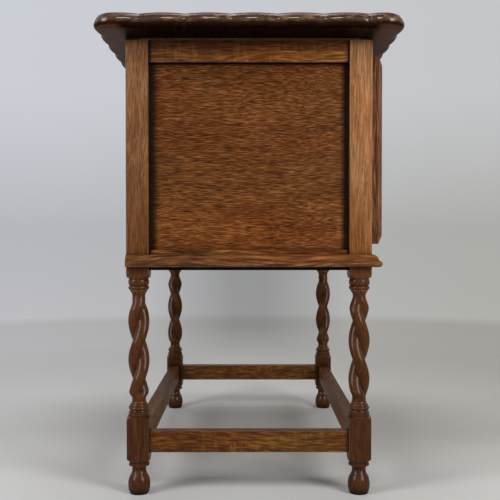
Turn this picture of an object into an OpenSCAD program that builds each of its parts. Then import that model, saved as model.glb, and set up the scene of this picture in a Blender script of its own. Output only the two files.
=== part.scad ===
// Side cabinet in oak: a panelled carcass with two doors, on four turned and twisted legs, under a
// scalloped top. Sizes are in millimetres. The origin is on the floor under the middle of the
// cabinet. The doors face -Y, +X is the right-hand end as one stands before the doors, +Z is up.
// Pieces are drawn for the left-hand end and mirrored to the right.

/* [Carcass] */
// Width of the carcass over its posts
carcass_w = 782; // [600:1:1200]
// Depth of the carcass over its posts
carcass_d = 437; // [340:1:600]
// Height of the posts, from the floor to the dust board
post_h = 810.5; // [760:0.5:960]
// Side of the square posts
post_w = 40; // [38:1:48]
// Height of the undersides of the bottom rails above the floor
carcass_z = 403.5; // [396:0.5:440]
// Thickness of the rails between the posts
rail_t = 26; // [22:1:30]
// How far the rails' faces stand back from the posts' faces
rail_setback = 4; // [1:0.5:6]
// Height of the top rails at the ends and the back
top_rail_h = 38.5; // [34:0.5:60]
// Height of the bottom rails at the ends and the back
bottom_rail_h = 36; // [34:0.5:60]
// Thickness of the rails' tenons
rail_tenon_t = 9; // [6:0.5:11]
// Shoulder of a rail's tenon above and below
rail_tenon_shoulder = 7; // [6.5:0.5:10]
// Thickness of the end panels
end_panel_t = 8; // [5:0.5:10]
// Thickness of the back panel
back_panel_t = 6; // [4:0.5:9]
// Depth of the grooves that hold the panels
groove_depth = 6; // [4:0.5:6.5]

/* [Top] */
// Thickness of the top
top_t = 28; // [22:1:40]
// Overhang of the top past the posts at each end
end_overhang = 84; // [60:1:110]
// Overhang of the top past the posts at the front and the back
front_overhang = 47.5; // [45:0.5:70]
// Thickness of the dust board between the carcass and the top
dust_board_t = 3.5; // [2:0.5:6]
// How far the dust board's edge stands proud of the posts
dust_board_proud = 0.5; // [0:0.1:1]
// Lobes along each end, between the corner lobes
end_lobes = 5; // [3:1:8]
// Lobes along the front and the back, between the corner lobes
front_lobes = 10; // [6:1:16]
// Depth of the notches between the lobes
lobe_depth = 5.5; // [2:0.5:8]
// Length of the corner lobes along the front and the back
corner_lobe_long = 80; // [60:1:100]
// Length of the back corner lobes along the ends
corner_lobe_back = 80; // [60:1:100]
// Length of the front corner lobes along the ends
corner_lobe_front = 62; // [50:1:100]
// Radius of the top's corners
corner_round = 38; // [30:1:45]
// Width of the upper rounding of the top's edge
upper_round_w = 22; // [10:1:26]
// Height of the upper rounding of the top's edge
upper_round_h = 16.5; // [6:0.5:18]
// Width of the lower rounding of the top's edge
lower_round_w = 10; // [4:1:20]

/* [Legs] */
// Height of the onion foot and its collar, below the lower block
foot_h = 60; // [52:1:75]
// Largest radius of the foot
foot_r = 19.9; // [16:0.1:20]
// Radius of the foot's neck
foot_neck_r = 12.4; // [9:0.1:14]
// Height of the lower square block
block_h = 81; // [76:1:110]
// Height of the rounded shoulders of the square blocks
shoulder_h = 11; // [4:1:14]
// Radius of the turned rings above and below the twist
ring_r = 18.6; // [15:0.1:18.9]
// Height of the turned rings below the twist
lower_rings_h = 30; // [26:1:40]
// Height of the turned rings above the twist
upper_rings_h = 31; // [28:1:44]
// Height of the shoulder of the upper square above the floor
leg_h = 389; // [370:1:392]
// Radius of the neck at the foot of the twist
lower_neck_r = 12.3; // [9:0.1:13]
// Radius of the neck at the head of the twist
upper_neck_r = 11.5; // [9:0.1:12.5]
// Height in which one strand of the twist makes a full turn
twist_pitch = 140; // [90:1:240]
// Radius of each of the two strands
strand_r = 11.3; // [8.5:0.1:11.5]
// Distance of each strand's centre from the leg's axis
strand_offset = 7.7; // [3:0.1:8]
// Height over which the strands run out into the lower neck
lower_runout = 14; // [8:1:40]
// Height over which the strands run out into the upper neck
upper_runout = 29; // [8:1:40]
// Bearing, seen from above, at which the twist of a right-hand leg starts
twist_start = 96; // [0:1:180]

/* [Stretchers] */
// Height of the stretchers
stretcher_h = 37.5; // [24:0.5:50]
// Thickness of the stretchers
stretcher_t = 25; // [14:1:28]
// Rise of the stretchers above the foot of the lower block
stretcher_rise = 16.5; // [12:0.5:24]
// Thickness of the stretchers' tenons
stretcher_tenon_t = 8; // [6:1:10]
// Shoulder of a stretcher's tenon above and below
stretcher_shoulder = 6; // [3:1:10]

/* [Base moulding] */
// Height of the base moulding's underside above the undersides of the bottom rails
base_lift = 6; // [0:0.5:8]
// Width of the moulding's upper quarter round
base_ovolo_w = 11; // [6:0.5:14]
// Height of the moulding's upper quarter round
base_ovolo_h = 11; // [6:0.5:14]
// Radius of the bead under the quarter round
base_bead_r = 5.7; // [3:0.1:7]

/* [Inside] */
// Thickness of the floor board
floor_t = 10; // [8:1:16]
// Thickness of the shelf
shelf_t = 12; // [9:1:20]
// Height of the shelf's underside above the floor board
shelf_rise = 170; // [60:1:220]
// Height of the bearers under the shelf
bearer_h = 20; // [12:1:30]
// How far the shelf's front edge stands behind the doors
shelf_setback = 8; // [3:1:40]

/* [Doors] */
// Thickness of the doors
door_t = 20; // [19:0.5:24]
// Gap between the doors and round them
door_gap = 2; // [1.8:0.1:3]
// Height of the rail over the doors, which lies flat
front_top_rail_h = 14; // [13:1:20]
// Height of the rail under the doors
front_bottom_rail_h = 41; // [39:1:60]
// Width of the doors' stiles and rails
stile_w = 62; // [60:1:75]
// Thickness of the tenons of the doors' rails
door_tenon_t = 7; // [5:0.5:8]
// Length of the tenons of the doors' rails
door_tenon_l = 26; // [12:1:40]
// Thickness of the edge of the doors' panels
door_panel_edge_t = 6; // [4:0.5:7]
// Rise of the panels' raised field over their edge
field_rise = 5; // [2:0.5:5.5]
// Width of the sloping margin round the raised field
field_margin = 28; // [10:1:50]

/* [Door moulding] */
// Width of the moulding planted on each door
mould_w = 28; // [24:1:28]
// Projection of the moulding from the door's face
mould_h = 26.5; // [16:0.5:30]
// Height of the moulding's outer side, below its slope
mould_side_h = 18; // [8:0.5:22]
// Width of the slope between the outer side and the crest
mould_slope_w = 15; // [6:0.5:18]
// Height of the quirk line on the moulding's outer side
mould_quirk_h = 12.6; // [3:0.1:15]
// Width and height of the quirk's step
mould_quirk_w = 0.9; // [0.4:0.1:2]
// Width of the moulding's flat crest
mould_crest_w = 3; // [1:0.5:5]
// Margin of bare door outside the moulding
mould_margin = 3; // [2.8:0.1:4]

/* [Hinges] */
// Height of the hinges
hinge_h = 50; // [40:1:70]
// Thickness of the hinges' leaves
leaf_t = 1.6; // [1.2:0.1:2]
// Width of the part of a leaf that is let into the wood
leaf_w = 18; // [14:0.5:18.5]
// Radius of the hinges' knuckles
knuckle_r = 3.2; // [2.6:0.1:3.3]
// Radius of the hinge pins
hinge_pin_r = 1.4; // [1:0.1:1.7]
// Distance of a hinge's middle from the door's end
hinge_inset = 60; // [45:1:90]

/* [Handles] */
// Height of the handles above the middle of the doors
handle_rise = 25; // [10:1:60]
// Radius of the round back plates
rosette_r = 14; // [11:0.5:14.5]
// Thickness of the round back plates
rosette_t = 2.5; // [1.5:0.5:4]
// Distance from the back plate to the axis that the drop swings on
drop_standoff = 6.5; // [6:0.5:9]
// Length of the drop below its axis
drop_l = 38; // [28:1:44]
// Largest radius of the drop
drop_r = 6; // [4:0.5:7]

/* [Lock] */
// Depth of the keyhole below the middle of the doors
key_drop = 35; // [25:1:80]
// Thickness of the lock's case
lock_t = 10; // [9:0.5:11]
// Height of the lock's case
lock_h = 44; // [40:1:60]
// Thickness of the case's walls
lock_wall = 1.5; // [1:0.1:2]
// Height of the lock's bolt
bolt_h = 10; // [6:1:12]
// Thickness of the lock's bolt
bolt_t = 4; // [2:0.5:5]
// Travel of the lock's bolt
bolt_travel = 7; // [5:0.5:9]
// Radius of the key's shank
key_r = 1.8; // [1.2:0.1:2.2]
// Reach of the key's bit from the shank's axis
key_bit = 5.5; // [4:0.1:5.8]

/* [Slide bolt] */
// Radius of the rod that bolts the left door to the rail above
rod_r = 3; // [2:0.1:3.5]
// Length of the rod
rod_l = 57; // [50:1:80]
// Travel of the rod
rod_travel = 8; // [5:0.5:10]
// Thickness of the rod's plate
rod_plate_t = 2; // [1:0.5:3]

/* [Screws] */
// Radius of the heads of the screws that hold the top
top_screw_head_r = 3.6; // [3:0.1:3.8]
// Radius of the shanks of the screws that hold the top
top_screw_r = 1.9; // [1.2:0.1:2.2]
// Reach of those screws into the top
top_screw_bite = 13; // [8:1:16]
// Radius of the heads of the hinge screws
hinge_screw_head_r = 2.6; // [2:0.1:3]
// Radius of the shanks of the hinge screws
hinge_screw_r = 1.3; // [1:0.1:1.6]
// Length of the hinge screws
hinge_screw_l = 12; // [8:1:14]

/* [Hidden] */
$fn = 48;

LEFT = -1;
RIGHT = 1;
FRONT = -1;
BACK = 1;

OAK = "#8a5a33";
DARK_OAK = "#5b3820";
PANEL_OAK = "#754824";
PALE_WOOD = "#a98c66";
BRASS = "#b08d4a";
STEEL = "#9a9a98";

// Clearance of pieces that sit loosely in a groove or a notch
slack = 0.2;
// Gap left at the bottom of a mortise or a groove
end_gap = 1;
// Radial clearance of a pin or a screw in its hole
running_fit = 0.05;
// Gap between moving metal and what it passes
pass_gap = 0.3;
// How far a cut runs past the face that it opens
over = 1;

half_w = carcass_w / 2;
half_d = carcass_d / 2;
leg_x = half_w - post_w / 2;
leg_y = half_d - post_w / 2;
inner_x = half_w - post_w;
inner_y = half_d - post_w;

// Middle of the rails' thickness, measured in from the posts' outer faces
rail_mid = rail_setback + rail_t / 2;
rail_tenon_l = post_w - rail_mid - rail_tenon_t / 2 - end_gap;
rail_mortise_l = rail_tenon_l + end_gap / 2;
top_rail_z = post_h - top_rail_h;
bottom_rail_top = carcass_z + bottom_rail_h;
floor_top = bottom_rail_top + floor_t;
shelf_z = floor_top + shelf_rise;
top_z = post_h + dust_board_t;

front_rail_top = carcass_z + front_bottom_rail_h;
front_rail_depth = post_w - rail_setback;
flat_tenon_shoulder = 3;
flat_tenon_margin = 8;

door_w = inner_x - 1.5 * door_gap;
door_z = front_rail_top + door_gap;
door_h = post_h - front_top_rail_h - door_gap - door_z;
door_mid_z = door_z + door_h / 2;
door_outer_x = -inner_x + door_gap;
door_free_x = door_outer_x + door_w;
door_back_y = -half_d + door_t;

hinge_x = -inner_x + door_gap / 2;
hinge_y = -half_d - knuckle_r - pass_gap;
hinge_heights = [door_z + hinge_inset, door_z + door_h - hinge_inset];
leaf_recess = leaf_t + slack - door_gap / 2;
leaf_back_y = -half_d + leaf_w;
leaf_mid_y = -half_d + leaf_w / 2;
knuckle_split = hinge_h / 3;
hinge_screw_step = hinge_h / 3;

// The bare strip of a lock stile between the moulding and the panel carries handle and keyhole
fitting_inset = (mould_margin + mould_w + stile_w) / 2;
fitting_x = door_free_x - fitting_inset;
handle_z = door_mid_z + handle_rise;
key_z = door_mid_z - key_drop;

// Shared shapes

// Points along part of an ellipse, from one angle to another
function arc(centre, radii, from, to, steps) =
    [for (i = [0 : steps]) let (a = from + (to - from) * i / steps)
        [centre[0] + radii[0] * cos(a), centre[1] + radii[1] * sin(a)]];

// Draws for the left-hand end, or mirrored for the right-hand end
module at_end(end) {
    mirror([end == RIGHT ? 1 : 0, 0, 0]) children();
}

// Draws for the front left corner, or mirrored to another corner
module at_corner(end, face) {
    at_end(end) mirror([0, face == BACK ? 1 : 0, 0]) children();
}

// A box between two opposite corners
module span(low, high) {
    translate(low) cube(high - low);
}

// A closed skin over a stack of level rings round the Z axis, listed upwards, each anticlockwise
// from above, with a fan of triangles from the axis over each end
module skin(rings) {
    count = len(rings[0]);
    last = len(rings) - 1;
    ends = len(rings) * count;
    sides = [for (k = [0 : last - 1]) for (i = [0 : count - 1])
        let (a = k * count + i, b = k * count + (i + 1) % count)
        each [[a, a + count, b + count], [a, b + count, b]]];
    fans = [for (i = [0 : count - 1]) let (j = (i + 1) % count)
        each [[ends, i, j], [ends + 1, last * count + j, last * count + i]]];
    polyhedron(
        concat([for (ring = rings) each ring], [[0, 0, rings[0][0][2]], [0, 0, rings[last][0][2]]]),
        concat(sides, fans), convexity = 6);
}

// A countersunk wood screw with its head's face at the origin and its point upwards
module screw_shape(head_r, shank_r, length) {
    head_h = head_r - shank_r;
    rotate_extrude() polygon([
        [0, 0], [head_r, 0], [shank_r, head_h], [shank_r, length - 2 * shank_r], [0, length]]);
}

// Top

upper_round_z = top_z + top_t - upper_round_h;

// Places along one side of the top as distance from the corner and depth inside the straight edge
function lobed_side(length, first, last, count) =
    let (lobe_steps = 6, ease_steps = 3, pitch = (length - first - last) / count)
    concat(
        [for (i = [0 : ease_steps - 1]) let (f = i / ease_steps)
            [corner_round + f * (first - corner_round), lobe_depth * f * f]],
        [for (i = [0 : count * lobe_steps]) let (u = (i % lobe_steps) / lobe_steps)
            [first + i * pitch / lobe_steps, lobe_depth * pow(2 * u - 1, 2)]],
        [for (i = [1 : ease_steps]) let (f = 1 - i / ease_steps)
            [length - corner_round - f * (last - corner_round), lobe_depth * f * f]]);

// The top's outline drawn in by an amount, at a height
function top_ring(inset, z) =
    let (
        top_w = carcass_w + 2 * end_overhang,
        top_d = carcass_d + 2 * front_overhang,
        corner_steps = 6,
        sides = [
            [top_w, top_d, lobed_side(top_w, corner_lobe_long, corner_lobe_long, front_lobes)],
            [top_d, top_w, lobed_side(top_d, corner_lobe_front, corner_lobe_back, end_lobes)],
            [top_w, top_d, lobed_side(top_w, corner_lobe_long, corner_lobe_long, front_lobes)],
            [top_d, top_w, lobed_side(top_d, corner_lobe_back, corner_lobe_front, end_lobes)]])
    [for (k = [0 : 3])
        let (length = sides[k][0], across = sides[k][1], c = cos(90 * k), s = sin(90 * k))
        each concat(
            [for (p = sides[k][2])
                let (x = p[0] - length / 2, y = p[1] + inset - across / 2)
                [c * x - s * y, s * x + c * y, z]],
            [for (i = [1 : corner_steps - 1])
                let (
                    a = -90 + 90 * i / corner_steps,
                    x = length / 2 - corner_round + (corner_round - inset) * cos(a),
                    y = -across / 2 + corner_round + (corner_round - inset) * sin(a))
                [c * x - s * y, s * x + c * y, z]])];

// Where the screws stand that hold the top: in the front rail and in pockets of the back rail
front_screw_y = -half_d + rail_setback + front_rail_depth / 2;
pocket_wall = 1.2;
pocket_r = top_screw_head_r + pass_gap;
back_screw_y = half_d - rail_setback - rail_t + pocket_wall + pocket_r;
top_screw_spread = inner_x * 0.62;
top_screw_z = post_h - front_top_rail_h;
top_screw_places = [for (x = [-top_screw_spread, 0, top_screw_spread])
    for (y = [front_screw_y, back_screw_y]) [x, y]];
top_screw_l = front_top_rail_h + dust_board_t + top_screw_bite;

module at_top_screws() {
    for (place = top_screw_places) translate([place[0], place[1], top_screw_z]) children();
}

module top_screw_holes() {
    at_top_screws() screw_shape(
        top_screw_head_r + running_fit, top_screw_r + running_fit, top_screw_l + end_gap);
}

module top() {
    lower_h = top_t - upper_round_h;
    section = concat(
        arc([lower_round_w, upper_round_z], [lower_round_w, lower_h], 270, 180, 3),
        [for (p = arc([upper_round_w, upper_round_z], [upper_round_w, upper_round_h], 180, 90, 4))
            if (p[1] > upper_round_z + 0.01) p]);
    color(DARK_OAK) difference() {
        skin([for (p = section) top_ring(p[0], p[1])]);
        top_screw_holes();
    }
}

module dust_board() {
    color(PALE_WOOD) difference() {
        span([-half_w - dust_board_proud, -half_d - dust_board_proud, post_h],
             [half_w + dust_board_proud, half_d + dust_board_proud, top_z]);
        top_screw_holes();
    }
}

module top_screws() {
    color(STEEL) at_top_screws() screw_shape(top_screw_head_r, top_screw_r, top_screw_l);
}

// Posts, each one piece from the floor to the dust board

block_z = foot_h;
block_top = block_z + block_h;
twist_z = block_top + lower_rings_h;
twist_top = leg_h - upper_rings_h;
post_corner_r = post_w / sqrt(2) + 0.4;
neck_sink = 1.5;

// A square length of post whose ends are turned down to round shoulders
module shouldered_block(z0, z1, r0, r1) {
    intersection() {
        span([-post_w / 2, -post_w / 2, z0], [post_w / 2, post_w / 2, z1]);
        rotate_extrude() polygon(concat(
            [[0, z0]],
            r0 > 0 ? arc([r0, z0 + shoulder_h], [post_corner_r - r0, shoulder_h], 270, 360, 6)
                : [[post_corner_r, z0]],
            r1 > 0 ? arc([r1, z1 - shoulder_h], [post_corner_r - r1, shoulder_h], 0, 90, 6)
                : [[post_corner_r, z1]],
            [[0, z1]]));
    }
}

// The onion foot, its neck and the collar under the lower block
module turned_foot() {
    belly_z = foot_h * 0.27;
    belly_h = foot_h * 0.467;
    neck_z = foot_h * 0.71;
    collar_z = foot_h * 0.873;
    rotate_extrude() polygon(concat(
        [[0, 0]],
        arc([0, belly_z], [foot_r, belly_h], -asin(belly_z / belly_h), 47, 10),
        arc([foot_neck_r + 2, neck_z], [2, 2], 210, 150, 4),
        arc([ring_r, neck_z + 3], [ring_r - foot_neck_r - 0.3, collar_z - neck_z - 4], 178, 110, 5),
        [[ring_r, collar_z - 1], [ring_r, collar_z + 1], [ring_r - 1.6, foot_h - 1.5],
         [ring_r - 1.6, foot_h + 1], [0, foot_h + 1]]));
}

// The disc, groove, torus and fillet between the lower block and the twist
module lower_rings() {
    disc_top = block_top + 0.284 * lower_rings_h;
    torus_z = block_top + 0.478 * lower_rings_h;
    torus_h = 0.14 * lower_rings_h;
    fillet_r = (ring_r + lower_neck_r) / 2;
    rotate_extrude() polygon(concat(
        [[0, block_top - 1], [ring_r, block_top - 1], [ring_r, disc_top - 1], [ring_r - 2, disc_top]],
        arc([ring_r - torus_h, torus_z], [torus_h, torus_h], -70, 70, 8),
        [[fillet_r + 0.8, torus_z + torus_h + 0.4], [fillet_r + 0.4, torus_z + torus_h + 2]],
        arc([fillet_r, twist_z - 1], [fillet_r - lower_neck_r, twist_z - torus_z - torus_h - 4], 260, 185, 4),
        [[lower_neck_r, twist_z], [0, twist_z]]));
}

// The fillet, torus, groove and band between the twist and the upper square
module upper_rings() {
    fillet_z = twist_top + 0.2 * upper_rings_h;
    torus_z = leg_h - 0.56 * upper_rings_h;
    torus_h = 0.14 * upper_rings_h;
    band_z = leg_h - 0.235 * upper_rings_h;
    band_h = 0.19 * upper_rings_h;
    fillet_r = (ring_r + upper_neck_r) / 2;
    rotate_extrude() polygon(concat(
        [[0, twist_top], [upper_neck_r, twist_top], [fillet_r - 2, fillet_z - 1.5], [fillet_r, fillet_z],
         [fillet_r, fillet_z + 1.6], [fillet_r + 0.8, fillet_z + 2.4]],
        arc([ring_r - torus_h, torus_z], [torus_h, torus_h], -70, 75, 8),
        arc([ring_r - 2, band_z], [2, band_h], -65, 65, 6),
        [[ring_r - 1, leg_h + 1], [0, leg_h + 1]]));
}

// The twist's outline at a height over its foot: two round strands side by side, turned by the
// height, that run out into the round necks; hand is 1 for a right-hand twist
function twist_ring(h, hand) =
    let (
        sides = 28,
        length = twist_top - twist_z,
        f = min(1, max(0, h / length)),
        near = min(1, max(0, min(h / lower_runout, (length - h) / upper_runout))),
        ease = near * near * (3 - 2 * near),
        neck = lower_neck_r + (upper_neck_r - lower_neck_r) * f - 0.05,
        r = neck + (strand_r - neck) * ease,
        d = strand_offset * ease,
        start = hand > 0 ? twist_start : 270 - twist_start,
        turn = start + hand * 360 * h / twist_pitch)
    [for (i = [0 : sides - 1])
        let (a = 360 * i / sides, reach = d * abs(cos(a)) + sqrt(r * r - pow(d * sin(a), 2)))
        [reach * cos(a + turn), reach * sin(a + turn), twist_z + h]];

// The length of two strands that wind round each other, sunk a little into the necks
module twist(hand) {
    steps = 36;
    length = twist_top - twist_z;
    skin([for (h = concat([-neck_sink], [for (k = [0 : steps]) length * k / steps], [length + neck_sink]))
        twist_ring(h, hand)]);
}

// Mortises and grooves of the front left corner, in cabinet coordinates
module end_rail_mortises() {
    x = -half_w + rail_mid;
    for (z = [[carcass_z, bottom_rail_top], [top_rail_z, post_h]])
        span([x - rail_tenon_t / 2, -inner_y - rail_mortise_l, z[0] + rail_tenon_shoulder],
             [x + rail_tenon_t / 2, -inner_y + over, z[1] - rail_tenon_shoulder]);
    span([x - end_panel_t / 2 - slack / 2, -inner_y - groove_depth, bottom_rail_top - groove_depth],
         [x + end_panel_t / 2 + slack / 2, -inner_y + over, top_rail_z + groove_depth]);
}

module back_rail_mortises() {
    y = half_d - rail_mid;
    for (z = [[carcass_z, bottom_rail_top], [top_rail_z, post_h]])
        span([-inner_x - rail_mortise_l, y - rail_tenon_t / 2, z[0] + rail_tenon_shoulder],
             [-inner_x + over, y + rail_tenon_t / 2, z[1] - rail_tenon_shoulder]);
    span([-inner_x - groove_depth, y - back_panel_t / 2 - slack / 2, bottom_rail_top - groove_depth],
         [-inner_x + over, y + back_panel_t / 2 + slack / 2, top_rail_z + groove_depth]);
}

module front_rail_mortises() {
    y = -half_d + rail_mid;
    span([-inner_x - rail_mortise_l, y - rail_tenon_t / 2, carcass_z + rail_tenon_shoulder],
         [-inner_x + over, y + rail_tenon_t / 2, front_rail_top - rail_tenon_shoulder]);
    span([-inner_x - rail_mortise_l, -half_d + rail_setback + flat_tenon_margin,
          post_h - front_top_rail_h + flat_tenon_shoulder],
         [-inner_x + over, -inner_y - flat_tenon_margin, post_h - flat_tenon_shoulder]);
}

stretcher_z = block_z + stretcher_rise;
stretcher_tenon_l = post_w / 2 - stretcher_tenon_t / 2 - end_gap;

module stretcher_mortises() {
    low = stretcher_z + stretcher_shoulder;
    high = stretcher_z + stretcher_h - stretcher_shoulder;
    half_t = stretcher_tenon_t / 2;
    reach = stretcher_tenon_l + end_gap / 2;
    span([-leg_x - half_t, -inner_y - reach, low], [-leg_x + half_t, -inner_y + over, high]);
    span([-inner_x - reach, -leg_y - half_t, low], [-inner_x + over, -leg_y + half_t, high]);
}

module post(end, face) {
    color(OAK) difference() {
        translate([end * leg_x, face * leg_y, 0]) {
            turned_foot();
            shouldered_block(block_z, block_top, ring_r - 1, ring_r);
            lower_rings();
            twist(-end * face);
            upper_rings();
            shouldered_block(leg_h, post_h, ring_r - 1, 0);
        }
        at_corner(end, face) {
            end_rail_mortises();
            stretcher_mortises();
        }
        at_end(end) {
            if (face == BACK) back_rail_mortises();
            if (face == FRONT) {
                front_rail_mortises();
                frame_leaf_recesses();
                frame_screw_holes();
            }
        }
    }
}

// Rails and panels of the carcass

// A rail along X with its tenons: its middle line, its length between shoulders and its height
module rail_along_x(y, length, z0, z1) {
    span([-length / 2, y - rail_t / 2, z0], [length / 2, y + rail_t / 2, z1]);
    span([-length / 2 - rail_tenon_l, y - rail_tenon_t / 2, z0 + rail_tenon_shoulder],
         [length / 2 + rail_tenon_l, y + rail_tenon_t / 2, z1 - rail_tenon_shoulder]);
}

// A strip that cuts a groove along X, at a middle line and between two heights
module groove_along_x(y, length, width, z0, z1) {
    span([-length / 2 - over, y - width / 2, z0], [length / 2 + over, y + width / 2, z1]);
}

module end_rail(end, z0, z1, groove_z0, groove_z1) {
    at_end(end) translate([-half_w + rail_mid, 0, 0]) rotate([0, 0, 90]) difference() {
        rail_along_x(0, 2 * inner_y, z0, z1);
        groove_along_x(0, 2 * inner_y, end_panel_t + slack, groove_z0, groove_z1);
    }
}

module end_top_rail(end) {
    color(OAK) end_rail(end, top_rail_z, post_h, top_rail_z - over, top_rail_z + groove_depth);
}

module end_bottom_rail(end) {
    color(OAK) end_rail(
        end, carcass_z, bottom_rail_top, bottom_rail_top - groove_depth, bottom_rail_top + over);
}

module end_panel(end) {
    reach = groove_depth - end_gap;
    x = -half_w + rail_mid;
    color(PANEL_OAK) at_end(end)
        span([x - end_panel_t / 2, -inner_y - reach, bottom_rail_top - reach],
             [x + end_panel_t / 2, inner_y + reach, top_rail_z + reach]);
}

module back_top_rail() {
    y = half_d - rail_mid;
    color(OAK) difference() {
        rail_along_x(y, 2 * inner_x, top_rail_z, post_h);
        groove_along_x(y, 2 * inner_x, back_panel_t + slack, top_rail_z - over, top_rail_z + groove_depth);
        top_screw_holes();
        for (place = top_screw_places) translate([place[0], back_screw_y, top_rail_z - over]) {
            cylinder(r = pocket_r, h = top_screw_z - top_rail_z + over);
            span([-pocket_r, -pocket_r - pocket_wall - over, 0], [pocket_r, 0, top_screw_z - top_rail_z + over]);
        }
    }
}

module back_bottom_rail() {
    y = half_d - rail_mid;
    color(OAK) difference() {
        rail_along_x(y, 2 * inner_x, carcass_z, bottom_rail_top);
        groove_along_x(
            y, 2 * inner_x, back_panel_t + slack, bottom_rail_top - groove_depth, bottom_rail_top + over);
    }
}

module back_panel() {
    reach = groove_depth - end_gap;
    y = half_d - rail_mid;
    color(PANEL_OAK)
        span([-inner_x - reach, y - back_panel_t / 2, bottom_rail_top - reach],
             [inner_x + reach, y + back_panel_t / 2, top_rail_z + reach]);
}

module front_top_rail() {
    z0 = post_h - front_top_rail_h;
    y0 = -half_d + rail_setback;
    color(OAK) difference() {
        union() {
            span([-inner_x, y0, z0], [inner_x, -inner_y, post_h]);
            span([-inner_x - rail_tenon_l, y0 + flat_tenon_margin, z0 + flat_tenon_shoulder],
                 [inner_x + rail_tenon_l, -inner_y - flat_tenon_margin, post_h - flat_tenon_shoulder]);
        }
        top_screw_holes();
        rod_mortise();
    }
}

module front_bottom_rail() {
    y = -half_d + rail_mid;
    color(OAK) difference() {
        rail_along_x(y, 2 * inner_x, carcass_z, front_rail_top);
        span([-half_w, door_back_y, bottom_rail_top], [half_w, half_d, front_rail_top + over]);
    }
}

// Base moulding, mitred at the front corners and cut off square at the back

base_z = carcass_z + base_lift;
base_proj = base_ovolo_w + base_bead_r;
base_ring_z = base_z + base_bead_r;
base_top = base_z + 2 * base_bead_r + base_ovolo_h;

// The moulding's section: distance out from the posts' faces, and height
module base_section() {
    polygon(concat(
        [[0, base_z]],
        arc([base_ovolo_w, base_ring_z], [base_bead_r, base_bead_r], -90, 84, 10),
        arc([0, base_z + 2 * base_bead_r + 0.4], [base_ovolo_w, base_ovolo_h - 0.4], 0, 90, 8)));
}

// Run along X before the front of the carcass, within a plan outline
module base_run(length, plan) {
    intersection() {
        translate([-length / 2, 0, 0]) rotate([90, 0, 90]) mirror([1, 0, 0])
            linear_extrude(length) base_section();
        translate([0, 0, base_z - over]) linear_extrude(base_top - base_z + 2 * over) polygon(plan);
    }
}

module front_base_moulding() {
    reach = half_w + base_proj;
    color(OAK) translate([0, -half_d, 0]) {
        base_run(2 * reach, [[-reach, -base_proj], [reach, -base_proj], [half_w, 0], [-half_w, 0]]);
        span([-inner_x, 0, base_z], [inner_x, rail_setback, base_top]);
    }
}

module end_base_moulding(end) {
    reach = half_d + base_proj;
    color(OAK) at_end(end) translate([-half_w, 0, 0]) rotate([0, 0, -90]) {
        base_run(2 * reach, [[-half_d, 0], [-half_d, -base_proj], [reach, -base_proj], [half_d, 0]]);
        span([-inner_y, 0, base_z], [inner_y, rail_setback, base_top]);
    }
}

// Stretchers

module stretcher(length) {
    span([-length / 2, -stretcher_t / 2, stretcher_z],
         [length / 2, stretcher_t / 2, stretcher_z + stretcher_h]);
    span([-length / 2 - stretcher_tenon_l, -stretcher_tenon_t / 2, stretcher_z + stretcher_shoulder],
         [length / 2 + stretcher_tenon_l, stretcher_tenon_t / 2,
          stretcher_z + stretcher_h - stretcher_shoulder]);
}

module long_stretcher(face) {
    color(OAK) translate([0, face * leg_y, 0]) stretcher(2 * inner_x);
}

module end_stretcher(end) {
    color(OAK) translate([end * leg_x, 0, 0]) rotate([0, 0, 90]) stretcher(2 * inner_y);
}

// Inside of the carcass

// The inner faces of the end panels and of the back panel
panel_inner_x = half_w - rail_mid - end_panel_t / 2;
panel_inner_y = half_d - rail_mid - back_panel_t / 2;

// A board that fills the carcass from a front line to the back panel, notched round the posts
module notched_board(front_y, z0, z1) {
    side = panel_inner_x - end_gap;
    notch_x = inner_x - slack;
    notch_y = inner_y - slack;
    difference() {
        span([-side, front_y, z0], [side, panel_inner_y - end_gap, z1]);
        for (end = [LEFT, RIGHT]) for (face = [FRONT, BACK]) at_corner(end, face)
            span([-half_w, -half_d, z0 - over], [-notch_x, -notch_y, z1 + over]);
    }
}

module floor_board() {
    color(PALE_WOOD) notched_board(door_back_y + pass_gap, bottom_rail_top, floor_top);
}

module shelf() {
    color(PALE_WOOD) notched_board(door_back_y + shelf_setback, shelf_z, shelf_z + shelf_t);
}

module shelf_bearer(end) {
    color(PALE_WOOD) at_end(end)
        span([-panel_inner_x + slack, -inner_y, shelf_z - bearer_h], [-inner_x, inner_y, shelf_z]);
}

// Doors: frame, fielded panel and mitred moulding, drawn for the left door

door_groove_y = door_back_y - door_t / 2;

module door_groove_strip(low, high) {
    half_t = (door_panel_edge_t + slack) / 2;
    span([low[0], door_groove_y - half_t, low[1]], [high[0], door_groove_y + half_t, high[1]]);
}

module door_tenon_strip(x0, x1, z0) {
    margin = groove_depth + end_gap;
    span([x0, door_groove_y - door_tenon_t / 2, z0 + margin],
         [x1, door_groove_y + door_tenon_t / 2, z0 + stile_w - margin]);
}

rail_heights = [door_z, door_z + door_h - stile_w];

module door_stile_blank(x0) {
    inner = x0 == door_outer_x ? x0 + stile_w : x0;
    toward = x0 == door_outer_x ? -1 : 1;
    difference() {
        span([x0, -half_d, door_z], [x0 + stile_w, door_back_y, door_z + door_h]);
        door_groove_strip(
            [min(inner - toward * over, inner + toward * groove_depth), door_z + stile_w - groove_depth],
            [max(inner - toward * over, inner + toward * groove_depth),
             door_z + door_h - stile_w + groove_depth]);
        for (z = rail_heights) door_tenon_strip(
            min(inner - toward * over, inner + toward * (door_tenon_l + end_gap)),
            max(inner - toward * over, inner + toward * (door_tenon_l + end_gap)), z);
    }
}

module door_hinge_stile(end) {
    color(OAK) at_end(end) difference() {
        door_stile_blank(door_outer_x);
        door_leaf_recesses();
        door_screw_holes();
    }
}

module left_door_lock_stile() {
    color(OAK) difference() {
        door_stile_blank(door_free_x - stile_w);
        strike_mortise();
    }
}

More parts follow.
